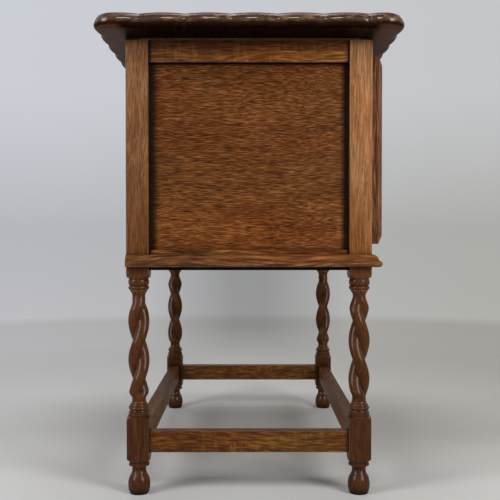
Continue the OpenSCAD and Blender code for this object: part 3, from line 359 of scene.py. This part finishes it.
POST_W = 40 * MM
POST_H = 810.5 * MM
ARRIS = 0.6 * MM
END_ARRIS = 0.4 * MM
CORNER_R = POST_W / math.sqrt(2)
FULL_R = CORNER_R - ARRIS
FOOT_H = 60 * MM
FOOT_R = 19.9 * MM
FOOT_NECK_R = 12.4 * MM
BLOCK_TOP = 141 * MM
SHOULDER_H = 11 * MM
RING_R = 18.6 * MM
SHOULDER_R = RING_R - 1 * MM
LEG_H = 389 * MM
LOWER_RINGS_H = 30 * MM
UPPER_RINGS_H = 31 * MM
LOWER_NECK_R = 12.3 * MM
UPPER_NECK_R = 11.5 * MM

TWIST_Z = BLOCK_TOP + LOWER_RINGS_H
TWIST_H = LEG_H - UPPER_RINGS_H - TWIST_Z
TWIST_PITCH = 140 * MM
TWIST_START = 96
STRAND_R = 11.3 * MM
STRAND_OFFSET = 7.7 * MM
LOWER_RUNOUT = 14 * MM
UPPER_RUNOUT = 29 * MM

ROUND_STEPS = 96
TWIST_STEPS = 110
SHOULDER_STEPS = 8
CORNER_TURNS = (-1.9, -0.8, 0.8, 1.9)
POST_SHARP, TOP_SHARP, SHEET_SHARP = 28, 40, 60


def post_angles():
    """Angles round a post, closer together at the corners of the square."""
    angles = set(round(i * 360 / ROUND_STEPS, 3) for i in range(ROUND_STEPS))
    for corner in (45, 135, 225, 315):
        angles |= {corner + turn for turn in CORNER_TURNS}
    return [math.radians(a) for a in sorted(angles)]


def square_reach(angle, limit):
    """Distance from a post's axis to its square side, but no more than a limit."""
    side = POST_W / 2 / max(abs(math.cos(angle)), abs(math.sin(angle)))
    return min(side, limit)


def twist_reach(angle, h, hand):
    """Distance from the axis to the surface of two twisted strands, at a height over their foot."""
    near = min(1.0, max(0.0, min(h / LOWER_RUNOUT, (TWIST_H - h) / UPPER_RUNOUT)))
    ease = near * near * (3 - 2 * near)
    neck = LOWER_NECK_R + (UPPER_NECK_R - LOWER_NECK_R) * h / TWIST_H
    radius = neck + (STRAND_R - neck) * ease
    offset = STRAND_OFFSET * ease
    start = TWIST_START if hand > 0 else 270 - TWIST_START
    turned = angle - math.radians(start + hand * 360 * h / TWIST_PITCH)
    valley = math.sqrt(radius * radius - (offset * math.sin(turned)) ** 2)
    return offset * abs(math.cos(turned)) + valley


def foot_outline():
    """The onion foot, its neck and its collar, as radius and height."""
    belly_z, belly_h = 0.27 * FOOT_H, 0.467 * FOOT_H
    neck_z, collar_z = 0.71 * FOOT_H, 0.873 * FOOT_H
    fillet_r = RING_R - 1.6 * MM
    cove = (RING_R - FOOT_NECK_R - 0.3 * MM, collar_z - neck_z - 4 * MM)
    outline = arc((0, belly_z), (FOOT_R, belly_h), -math.degrees(math.asin(belly_z / belly_h)), 47, 26)
    outline += arc((FOOT_NECK_R + 2 * MM, neck_z), (2 * MM, 2 * MM), 210, 150, 7)
    outline += arc((RING_R, neck_z + 3 * MM), cove, 178, 110, 10)
    outline += [(RING_R, collar_z - 1 * MM), (RING_R, collar_z + 1 * MM),
                (fillet_r, FOOT_H - 1.5 * MM), (fillet_r, FOOT_H)]
    return outline


def lower_rings_outline():
    """The disc, the ring and the cove between the block and the twist."""
    disc_z = BLOCK_TOP + 0.284 * LOWER_RINGS_H
    ring_z, ring_h = BLOCK_TOP + 0.478 * LOWER_RINGS_H, 0.14 * LOWER_RINGS_H
    fillet_r = (RING_R + LOWER_NECK_R) / 2
    cove = (fillet_r - LOWER_NECK_R, TWIST_Z - ring_z - ring_h - 4 * MM)
    outline = [(RING_R, BLOCK_TOP), (RING_R, disc_z - 1 * MM), (RING_R - 2 * MM, disc_z)]
    outline += arc((RING_R - ring_h, ring_z), (ring_h, ring_h), -70, 70, 14)
    outline += [(fillet_r + 0.8 * MM, ring_z + ring_h + 0.4 * MM),
                (fillet_r + 0.4 * MM, ring_z + ring_h + 2 * MM)]
    outline += arc((fillet_r, TWIST_Z - 1 * MM), cove, 260, 185, 8)
    return outline


def upper_rings_outline():
    """The fillet, the ring and the band between the twist and the carcass."""
    fillet_z = TWIST_Z + TWIST_H + 0.2 * UPPER_RINGS_H
    ring_z, ring_h = LEG_H - 0.56 * UPPER_RINGS_H, 0.14 * UPPER_RINGS_H
    band_z, band_h = LEG_H - 0.235 * UPPER_RINGS_H, 0.19 * UPPER_RINGS_H
    fillet_r = (RING_R + UPPER_NECK_R) / 2
    outline = [(fillet_r - 2 * MM, fillet_z - 1.5 * MM), (fillet_r, fillet_z),
               (fillet_r, fillet_z + 1.6 * MM), (fillet_r + 0.8 * MM, fillet_z + 2.4 * MM)]
    outline += arc((RING_R - ring_h, ring_z), (ring_h, ring_h), -70, 75, 14)
    outline += arc((RING_R - 2 * MM, band_z), (2 * MM, band_h), -65, 65, 12)
    outline += [(RING_R - 1 * MM, LEG_H)]
    return outline


def post(end, face, material):
    """One post from the floor to the dust board; its twist is the mirror of its neighbours'."""
    node = {-1: "front", 1: "back"}[face] + {-1: "_left_post", 1: "_right_post"}[end]
    low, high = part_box(node)
    x, y = (low.x + high.x) / 2, (low.y + high.y) / 2
    hand = -end * face
    angles = post_angles()
    turns = [math.radians(90 * k / SHOULDER_STEPS) for k in range(SHOULDER_STEPS + 1)]
    rings = []

    def ring(z, reach):
        rings.append([(x + reach(a) * math.cos(a), y + reach(a) * math.sin(a), z) for a in angles])

    def turned(outline):
        for r, z in outline:
            ring(z, lambda a: r)

    def square(z, limit):
        ring(z, lambda a: square_reach(a, min(limit, FULL_R)))

    def lower_shoulder(z):
        for t in turns:
            square(z + SHOULDER_H * (1 - math.cos(t)), SHOULDER_R + (CORNER_R - SHOULDER_R) * math.sin(t))

    def upper_shoulder(z):
        for t in turns:
            square(z - SHOULDER_H * (1 - math.sin(t)), RING_R + (CORNER_R - RING_R) * math.cos(t))

    turned(foot_outline())
    lower_shoulder(FOOT_H)
    upper_shoulder(BLOCK_TOP)
    turned(lower_rings_outline())
    for k in range(TWIST_STEPS + 1):
        h = TWIST_H * k / TWIST_STEPS
        ring(TWIST_Z + h, lambda a: twist_reach(a, h, hand))
    turned(upper_rings_outline())
    lower_shoulder(LEG_H)
    square(POST_H - END_ARRIS, FULL_R)
    square(POST_H, FULL_R - END_ARRIS)
    obj = skin(node + "_wood", rings)
    finish_mesh(obj, material, POST_SHARP)
    stand_in(obj, node)


TOP_W = 950 * MM
TOP_D = 532 * MM
TOP_T = 28 * MM
TOP_Z = 814 * MM
CORNER_ROUND = 38 * MM
LOBE_DEPTH = 5.5 * MM
LONG_LOBES, END_LOBES = 10, 5
LONG_CORNER = 80 * MM
BACK_CORNER = 80 * MM
FRONT_CORNER = 62 * MM
UPPER_ROLL_W, UPPER_ROLL_H, LOWER_ROLL_W = 22 * MM, 16.5 * MM, 10 * MM
UNDERSIDE_INSET, FACE_INSET = 30 * MM, 28 * MM
NOTCH_DIP = 0.9 * MM
LOBE_STEPS, CORNER_STEPS, ROUNDING_STEPS = 14, 8, 14
LOWER_STEPS, UPPER_STEPS, DIP_STEPS = 10, 16, 20


def lobed_side(length, first, last, count):
    """Points along one side of the top: distance from the corner and depth of the notch there."""
    pitch = (length - first - last) / count
    side = []
    for k in range(CORNER_STEPS):
        share = k / CORNER_STEPS
        side.append((CORNER_ROUND + share * (first - CORNER_ROUND), LOBE_DEPTH * share ** 2))
    for i in range(count * LOBE_STEPS + 1):
        share = (i % LOBE_STEPS) / LOBE_STEPS
        side.append((first + i * pitch / LOBE_STEPS, LOBE_DEPTH * (2 * share - 1) ** 2))
    for k in range(1, CORNER_STEPS + 1):
        share = 1 - k / CORNER_STEPS
        side.append((length - CORNER_ROUND - share * (last - CORNER_ROUND), LOBE_DEPTH * share ** 2))
    return side


LONG_SIDE = (TOP_W, TOP_D, lobed_side(TOP_W, LONG_CORNER, LONG_CORNER, LONG_LOBES))
TOP_SIDES = (
    LONG_SIDE,
    (TOP_D, TOP_W, lobed_side(TOP_D, FRONT_CORNER, BACK_CORNER, END_LOBES)),
    LONG_SIDE,
    (TOP_D, TOP_W, lobed_side(TOP_D, BACK_CORNER, FRONT_CORNER, END_LOBES)))


def top_ring(inset, z, dip=0.0):
    """The top's outline drawn in by inset at height z, lower by dip in the notches."""
    ring = []
    for (length, across, side), (c, s) in zip(TOP_SIDES, ((1, 0), (0, 1), (-1, 0), (0, -1))):
        points = [(distance - length / 2, depth + inset - across / 2, z - dip * depth / LOBE_DEPTH)
                  for distance, depth in side]
        for i in range(1, ROUNDING_STEPS):
            a = math.radians(90 * i / ROUNDING_STEPS - 90)
            points.append((length / 2 - CORNER_ROUND + (CORNER_ROUND - inset) * math.cos(a),
                           CORNER_ROUND - across / 2 + (CORNER_ROUND - inset) * math.sin(a), z))
        ring += [(c * x - s * y, s * x + c * y, h) for x, y, h in points]
    return ring


def top(material):
    """The top with its rounded and scalloped edge, whose upper roll dips into each notch."""
    roll_z = TOP_Z + TOP_T - UPPER_ROLL_H
    lower_radii = (LOWER_ROLL_W, TOP_T - UPPER_ROLL_H)
    lower = arc((LOWER_ROLL_W, roll_z), lower_radii, 270, 180, LOWER_STEPS)
    upper = arc((UPPER_ROLL_W, roll_z), (UPPER_ROLL_W, UPPER_ROLL_H), 180, 90, UPPER_STEPS)
    rings = [top_ring(UNDERSIDE_INSET, TOP_Z)]
    rings += [top_ring(inset, z) for inset, z in lower]
    for k, (inset, z) in enumerate(upper[1:], 1):
        rings.append(top_ring(inset, z, NOTCH_DIP * math.sin(math.pi * k / DIP_STEPS)))
    rings.append(top_ring(FACE_INSET, TOP_Z + TOP_T))
    obj = skin("top_board", rings)
    finish_mesh(obj, material, TOP_SHARP)
    stand_in(obj, "top")


# Woods

END_PANEL_HALF = 171.5 * MM
END_RAIL_HALF = 175.5 * MM
TOP_RAIL_Z = 772.5 * MM
LOW_RAIL_Z = 409.5 * MM
LINE = 0.3 * MM
LOW_LINE = 0.5 * MM
CARCASS_Z = 420 * MM
DUST_HALF_W, DUST_HALF_D = 370 * MM, 190 * MM
OVERHANG_HALF = 212 * MM


def framed(name, grain, tones, seed, **settings):
    """Oak of the rails, stiles, stretchers and mouldings."""
    wood = Oak(name, grain, tones, seed, **settings)
    # Painted shade with old polish and dust in the corners; lighter arrises from rubbing, with painted
    # highlight.
    wood.crevices(12 * MM, 0.40, 0.85, 0.35)
    wood.worn_and_highlit_edges(0.45, rgb(160, 120, 82))
    return wood


def end_top_rail():
    """Dark by the posts, with painted shade on its lower edge, a painted shadow of the top on its upper
    part, and painted light paler towards the front.
    """
    wood = framed("oak_end_top_rail", "Y", RAIL_TONES, 3.0, dash=(420, 420, 30), contrast=0.7, rays=0.35)
    wood.edge_band("Y", END_PANEL_HALF, END_RAIL_HALF, 0.2)
    # Painted shade on the rail's underside.
    wood.tinted("Z", TOP_RAIL_Z - LINE, TOP_RAIL_Z + LINE, (0.14, 0.09, 0.06))
    # A painted shadow of the top's overhang, darkest at the rail's top.
    wood.tinted("Z", 806 * MM, 787 * MM, (0.34, 0.26, 0.16))
    # Painted light, paler towards the front.
    wood.tinted("Y", -100 * MM, 30 * MM, (1.55, 1.55, 1.25))
    return wood.finish()


def end_low_rail():
    """Dark by the posts, and with painted shade along its lower edge."""
    wood = framed("oak_end_low_rail", "Y", RAIL_TONES, 18.0, dash=(260, 260, 24))
    wood.edge_band("Y", END_PANEL_HALF, END_RAIL_HALF, 0.2)
    # Painted shade on the rail's lower edge, under the base moulding.
    wood.tinted("Z", LOW_RAIL_Z - LOW_LINE, LOW_RAIL_Z + LOW_LINE, (0.1, 0.08, 0.06))
    return wood.finish(coat=0.0, specular=0.06)


def end_moulding():
    wood = framed("oak_end_moulding", "Y", MOULDING_TONES, 4.0, dash=(220, 220, 20))
    wood.spot((-408 * MM, -181 * MM, 430.5 * MM), 2.6 * MM, 0.25)
    return wood.finish()


def door_moulding():
    """Grain along each of the four mitred lengths, in the same place on both doors."""
    low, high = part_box("left_door_moulding")
    ring = (-(low.x + high.x) / 2, (low.z + high.z) / 2, (high.x - low.x) / 2, (high.z - low.z) / 2)
    return framed("oak_door_moulding", "X", MOULDING_TONES, 17.0, dash=(300, 300, 20), around=ring).finish()


def end_panel():
    """Dark beside the posts, with a painted shadow under the top rail, and paler low down."""
    wood = Oak("oak_end_panel", "Y", PANEL_TONES, 1.0, dash=(800, 800, 55), contrast=1.12)
    wood.crevices(12 * MM, 0.40, 0.85, 0.35)
    wood.edge_band("Y", END_PANEL_HALF - 9.5 * MM, END_PANEL_HALF, 0.16)
    wood.tinted("Z", 470 * MM, 560 * MM, (1.26, 1.22, 1.1))
    # A painted shadow of the top rail on the panel's upper edge.
    wood.tinted("Z", TOP_RAIL_Z - 1 * MM, TOP_RAIL_Z - 6 * MM, (0.1, 0.06, 0.04))
    return wood.finish(rough=0.5, coat=0.0, specular=0.1)


def door_panel():
    wood = Oak("oak_door_panel", "Z", PANEL_TONES, 9.0, dash=(620, 620, 38), contrast=0.95)
    wood.crevices(12 * MM, 0.40, 0.85, 0.4)
    return wood.finish(rough=0.48, coat=0.0)


def dust_board():
    """Bare oak, darkened round the edge that shows."""
    wood = Oak("oak_dust_board", "X", INSIDE_TONES, 16.0)
    wood.edge_band("X", DUST_HALF_W, DUST_HALF_W + 10 * MM, 0.2)
    wood.edge_band("Y", DUST_HALF_D, DUST_HALF_D + 10 * MM, 0.2)
    return wood.finish(rough=0.62, coat=0.0, specular=0.15)


def top_oak():
    """Dark polish, glossy and with amber patches on the upper roll, darker towards the underside with
    painted shade, and browner with painted light under the overhang beyond the carcass.
    """
    wood = Oak("oak_top", "X", TOP_TONES, 13.0, dash=(600, 600, 26), contrast=0.7)
    height = wood.axes["Z"]
    # Painted shade in the corners and hollows, such as the underside by the carcass.
    wood.crevices(20 * MM, 0.45, 0.95, 0.25)
    # Painted shade, darker towards the underside.
    wood.tinted("Z", TOP_Z + 1.5 * MM, TOP_Z + TOP_T - 1 * MM, (0.10, 0.075, 0.055))
    roll = wood.times(wood.spread(height, TOP_Z + 8 * MM, TOP_Z + 14 * MM),
                      wood.spread(height, TOP_Z + 22.5 * MM, TOP_Z + 20.5 * MM))
    amber = wood.noise(wood.place, (75, 75, 130), 2.0)
    wood.painted(wood.times(roll, wood.spread(amber, 0.50, 0.66, 0.0, 0.45)), AMBER)
    # Painted light: the underside browner where it reaches beyond the carcass.
    overhang = wood.times(
        wood.spread(height, TOP_Z + 6 * MM, TOP_Z + 2 * MM),
        wood.spread(wood.math("ABSOLUTE", wood.axes["Y"]), OVERHANG_HALF, OVERHANG_HALF + 13 * MM))
    wood.painted(wood.times(overhang, 0.7), LIT_OVERHANG_BROWN)
    wood.set("IOR", 1.3)
    return wood.finish(rough=0.36, coat=wood.times(roll, 0.8), coat_rough=0.08,
                       specular=wood.math("MULTIPLY_ADD", roll, 0.4, 0.05))


def post_oak(name, tones, seed, leg_tint):
    """Oak of a post: paler in the carcass, where painted shade darkens it downwards, darker in the turned
    leg and the block under it, with deep painted shade in its grooves and corners, and lighter arrises.
    """
    wood = Oak(name, "Z", tones, seed, dash=(500, 500, 20), contrast=0.65)
    # Painted shade: the part in the carcass darker downwards.
    wood.tinted("Z", CARCASS_Z, 800 * MM, (0.68, 0.56, 0.40))
    wood.tinted("Z", CARCASS_Z, 580 * MM, (0.80, 0.66, 0.40))
    wood.tinted("Z", 385 * MM, CARCASS_Z, leg_tint)
    wood.tinted("Z", 135 * MM, 150 * MM, (0.80, 0.76, 0.70))
    # Deep painted shade in the twist's grooves and the corners.
    wood.crevices(16 * MM, 0.35, 0.98, 0.04)
    wood.worn_and_highlit_edges(0.4, rgb(170, 130, 92))
    return wood.finish(rough=0.42, coat=0.24, specular=0.06)


stile_wood = framed("oak_upright", "Z", MOULDING_TONES, 2.0, dash=(420, 420, 20), contrast=0.85).finish()
long_moulding_wood = framed("oak_long_moulding", "X", MOULDING_TONES, 5.0, dash=(220, 220, 20)).finish()
door_moulding_wood = door_moulding()
end_stretcher_wood = framed("oak_end_stretcher", "Y", STRETCHER_TONES, 6.0, dash=(300, 300, 36),
                            contrast=0.8, rays=0.4).finish()
long_stretcher_wood = framed("oak_long_stretcher", "X", STRETCHER_TONES, 7.0, dash=(420, 420, 26),
                             contrast=0.7).finish(coat=0.0, specular=0.08)
long_rail_wood = framed("oak_long_rail", "X", RAIL_TONES, 8.0, dash=(420, 420, 20),
                        contrast=0.8, rays=0.4).finish()
door_panel_wood = door_panel()
back_panel_wood = Oak("oak_back_panel", "X", PANEL_TONES, 10.0, dash=(560, 560, 34),
                      contrast=0.9).finish(rough=0.6, coat=0.0)
inside_wood = Oak("oak_inside", "X", INSIDE_TONES, 11.0).finish(rough=0.62, coat=0.0, specular=0.25)
bearer_wood = Oak("oak_bearer", "Y", INSIDE_TONES, 12.0).finish(rough=0.62, coat=0.0, specular=0.25)
dust_wood = dust_board()
brass = metal("aged_brass", rgb(196, 158, 92), rgb(84, 62, 34), 0.24, 0.75)
steel = metal("dull_steel", rgb(150, 148, 144), rgb(70, 62, 56), 0.3, 0.6)

# Groups of nodes by the endings of their names, of which the first that fits counts: the material on
# the left and the right, the material elsewhere, and how far the edges are rounded.
GROUPS = (
    (("leaves", "pins", "hinge_screws", "handle_plate", "handle_drop", "lock_case", "lock_bolt",
      "escutcheon", "slide_bolt_plate", "slide_bolt_rod"), brass, brass, 0.15 * MM),
    (("top_screws", "key"), steel, steel, 0.15 * MM),
    (("floor_board", "shelf"), inside_wood, inside_wood, 0.3 * MM),
    (("shelf_bearer",), bearer_wood, bearer_wood, 0.3 * MM),
    (("dust_board",), dust_wood, dust_wood, 0.5 * MM),
    (("stretcher",), end_stretcher_wood, long_stretcher_wood, 0.5 * MM),
    (("base_moulding",), end_moulding(), long_moulding_wood, 0.5 * MM),
    (("hinge_stile", "lock_stile"), stile_wood, stile_wood, 0.5 * MM),
    (("door_moulding",), door_moulding_wood, door_moulding_wood, 0.5 * MM),
    (("door_panel",), door_panel_wood, door_panel_wood, 0.5 * MM),
    (("panel",), end_panel(), back_panel_wood, 0.0),
    (("door_top_rail", "door_bottom_rail"), long_rail_wood, long_rail_wood, 0.5 * MM),
    (("top_rail",), end_top_rail(), long_rail_wood, 0.5 * MM),
    (("bottom_rail",), end_low_rail(), long_rail_wood, 0.5 * MM),
)
REDRAWN = ("post", "top")
WELD_REACH = 0.001 * MM
SOFTENED_ANGLE = 32


def soften(obj, width):
    """Welds a CAD piece's corners and rounds its sharp edges a little."""
    weld = obj.modifiers.new("weld", "WELD")
    weld.merge_threshold = WELD_REACH
    bevel = obj.modifiers.new("bevel", "BEVEL")
    bevel.width = width
    bevel.segments = 2
    bevel.limit_method = "ANGLE"
    bevel.angle_limit = math.radians(SOFTENED_ANGLE)
    bevel.harden_normals = True


def dress(node):
    """Gives a CAD piece the material and the soft edges of its group."""
    _, sideways, elsewhere, rounding = next(group for group in GROUPS if node.endswith(group[0]))
    obj = nodes[node]
    obj.data.materials.clear()
    obj.data.materials.append(sideways if node.startswith(("left_", "right_")) else elsewhere)
    if rounding:
        soften(obj, rounding)


for name in nodes:
    if not name.endswith(REDRAWN):
        dress(name)

# The front posts take the copy with painted light, the back posts the copy with painted shade.
lit_front_post_wood = post_oak("oak_front_post_lit", LIT_FRONT_POST_TONES, 14.0, (0.4125, 0.371, 0.25))
shaded_back_post_wood = post_oak("oak_back_post_shaded", SHADED_BACK_POST_TONES, 15.0, (0.675, 0.667, 0.50))
for side in (-1, 1):
    post(side, -1, lit_front_post_wood)
    post(side, 1, shaded_back_post_wood)
top(top_oak())


# Floor, light and camera

# Display tones of the paper by distance, left and right as the camera sees it, with the light and shade of
# the studio painted in. Those near the cabinet go by the distance beyond its middle, the others by that
# along the floor and up the wall.
NEAR_PAINTED_TONES = (
    ((-0.3, (200, 200, 200)), (0.1, (188, 188, 187)), (0.6, (210, 210, 210))),
    ((-0.3, (200, 199, 195)), (0.1, (179, 177, 170)), (0.6, (196, 194, 187))))
FAR_PAINTED_TONES = (
    ((1.2, (180, 180, 182)), (2.6, (177, 177, 179)), (3.0, (188, 188, 193)), (4.6, (182, 183, 189)),
     (6.0, (203, 206, 213))),
    ((1.2, (163, 161, 156)), (2.6, (161, 160, 154)), (3.0, (176, 176, 171)), (4.6, (172, 173, 168)),
     (6.0, (197, 198, 200))))
NEAREST_SHARE = 0.1
LONGEST_TONE = 8.0
EYE_BACK = 1.9
LEFT_TO_RIGHT = (0.26, -0.26)
LIT_REACH, EVEN_REACH = 0.75, 1.7

# A painted shadow of the cabinet on the far paper: its spans aside, beyond the middle and along the paper.
SHADOW_PATCH_ASIDE, SHADOW_PATCH_BEYOND, SHADOW_PATCH_ALONG = (0.12, 0.02), (0.8, 2.3), (5.5, 4.3)
SHADOW_PATCH_SHARE = 0.34

FLOOR_HOLE_R = 0.1 * MM
FLOOR_R = 3.0
WALL_CURVE_R = 1.5
WALL_TOP = 7.0


def paper(name):
    """Pale paper, lit near the cabinet and with a tone of its own far from it, where its lamps don't reach;
    both tones have light and shade painted in, and the far one a painted shadow behind the cabinet.
    """
    m = Material(name)
    axes = m.split(m.add("TexCoord", "Object"))
    x, y = axes["X"], axes["Y"]
    level = m.add("CombineXYZ", "Vector", {"X": x, "Y": y})
    away = m.add("VectorMath", "Value", {0: level}, operation="LENGTH")
    along = m.math("ADD", away, axes["Z"])
    aside = m.math("DIVIDE", y, m.math("ADD", m.math("ABSOLUTE", x), EYE_BACK))
    half = m.spread(aside, *LEFT_TO_RIGHT)

    def tones(distance, pair):
        share = m.math("MULTIPLY_ADD", distance, 1 / LONGEST_TONE, NEAREST_SHARE)
        left, right = (m.ramp(share, *[(NEAREST_SHARE + at / LONGEST_TONE, rgb(*tone))
                                       for at, tone in stops]) for stops in pair)
        return m.mix(half, left, right)

    # A painted shadow of the cabinet, in the far paper's tone.
    painted_shadow = m.times(m.spread(m.math("ABSOLUTE", aside), *SHADOW_PATCH_ASIDE), m.spread(x, *SHADOW_PATCH_BEYOND))
    painted_shadow = m.times(painted_shadow, m.spread(along, *SHADOW_PATCH_ALONG))
    far_painted_tone = m.mix(m.times(painted_shadow, SHADOW_PATCH_SHARE), tones(along, FAR_PAINTED_TONES), BLACK)
    rays = m.tree.nodes.new("ShaderNodeLightPath")
    seen = m.math("MAXIMUM", rays.outputs["Is Camera Ray"], m.math(
        "MAXIMUM", rays.outputs["Is Glossy Ray"], rays.outputs["Is Transmission Ray"]))
    m.set("Base Color", tones(x, NEAR_PAINTED_TONES))
    m.set("Roughness", 0.85)
    glow = m.add("Emission", "Emission", {"Color": far_painted_tone, "Strength": 1.0})
    surface = m.add("MixShader", "Shader", {
        0: m.times(seen, m.spread(away, LIT_REACH, EVEN_REACH)), 1: m.shader.outputs[0], 2: glow})
    m.put(m.tree.nodes["Material Output"].inputs["Surface"], surface)
    return m.material


def turned_sheet(name, outline, material):
    """A sheet turned round the cabinet's middle from its outline of radius and height."""
    turns = [math.tau * i / ROUND_STEPS for i in range(ROUND_STEPS)]
    points = [(r * math.cos(a), r * math.sin(a), z) for r, z in outline for a in turns]
    obj = new_object(name, points, band_faces(ROUND_STEPS, len(outline) - 1))
    finish_mesh(obj, material, SHEET_SHARP)
    return obj


def backdrop():
    """A pale floor, and a round wall that rises from it in a long curve and only shows as a background."""
    material = paper("pale_paper")
    turned_sheet("paper_floor", [(FLOOR_HOLE_R, 0.0), (FLOOR_R, 0.0)], material)
    outline = arc((FLOOR_R, WALL_CURVE_R), (WALL_CURVE_R, WALL_CURVE_R), 270, 360, 18)
    outline.append((FLOOR_R + WALL_CURVE_R, WALL_TOP))
    wall = turned_sheet("paper_wall", outline, material)
    wall.visible_diffuse = False
    wall.visible_shadow = False


def area_light(name, place, target, size, power):
    data = bpy.data.lights.new(name, "AREA")
    data.shape = "RECTANGLE"
    data.size, data.size_y = size
    data.energy = power
    obj = bpy.data.objects.new(name, data)
    obj.location = place
    obj.rotation_euler = (Vector(target) - Vector(place)).to_track_quat("-Z", "Y").to_euler()
    obj.visible_camera = False
    bpy.context.collection.objects.link(obj)


def world(light, seen):
    """Even grey light from all round, seen by the camera as a paler grey."""
    scene_world = bpy.data.worlds.new("studio")
    scene_world.use_nodes = True
    tree = scene_world.node_tree
    mix = tree.nodes.new("ShaderNodeMix")
    mix.data_type = "RGBA"
    mix.inputs[6].default_value = light
    mix.inputs[7].default_value = seen
    rays = tree.nodes.new("ShaderNodeLightPath")
    tree.links.new(rays.outputs["Is Camera Ray"], mix.inputs[0])
    tree.links.new(mix.outputs[2], tree.nodes["Background"].inputs["Color"])
    bpy.context.scene.world = scene_world


EYE = (-1.882, 0.0, 0.4715)
SENSOR_W = 36.0
PHOTO_PX = 500
FOCAL_PX = 840
AIM_RIGHT_PX, AIM_DOWN_PX = 1, 18


def camera():
    """Looks at the left end, from the height and distance that the photograph's lines give."""
    data = bpy.data.cameras.new("camera")
    data.lens = SENSOR_W * FOCAL_PX / PHOTO_PX
    data.sensor_width = SENSOR_W
    data.clip_start = 0.05
    obj = bpy.data.objects.new("camera", data)
    obj.location = EYE
    forward = Vector((1.0, -AIM_RIGHT_PX / FOCAL_PX, -AIM_DOWN_PX / FOCAL_PX))
    obj.rotation_euler = forward.to_track_quat("-Z", "Y").to_euler()
    bpy.context.collection.objects.link(obj)
    bpy.context.scene.camera = obj


# Each lamp's name, place, target, width and height, and power in watts.
LAMPS = (
    ("key_right", (-1.75, -1.45, 1.15), (-0.2, 0.0, 0.5), (0.7, 1.2), 36),
    ("key_left", (-1.40, 1.65, 1.15), (-0.2, 0.0, 0.5), (0.7, 1.2), 29),
    ("side_right", (0.4, -2.2, 1.1), (0.2, 0.0, 0.4), (0.6, 1.2), 1.5),
    ("side_left", (0.4, 2.2, 1.1), (0.2, 0.0, 0.4), (0.6, 1.2), 1.5),
    ("back_right", (1.9, -1.5, 1.5), (0.5, 0.0, 0.2), (0.7, 1.2), 5),
    ("back_left", (1.9, 1.5, 1.5), (0.5, 0.0, 0.2), (0.7, 1.2), 5),
    ("over", (0.5, 0.0, 2.6), (0.0, 0.0, 0.0), (1.2, 0.6), 24),
    ("front_top", (-1.88, 0.1, 2.24), (-0.4, 0.0, 0.8), (0.5, 0.35), 7),
)
AMBIENT_GREY = (0.07, 0.07, 0.07, 1.0)
FAR_GREY = rgb(186, 188, 192)

backdrop()
for lamp in LAMPS:
    area_light(*lamp)
world(AMBIENT_GREY, FAR_GREY)
camera()
bpy.context.scene.view_settings.view_transform = "Standard"
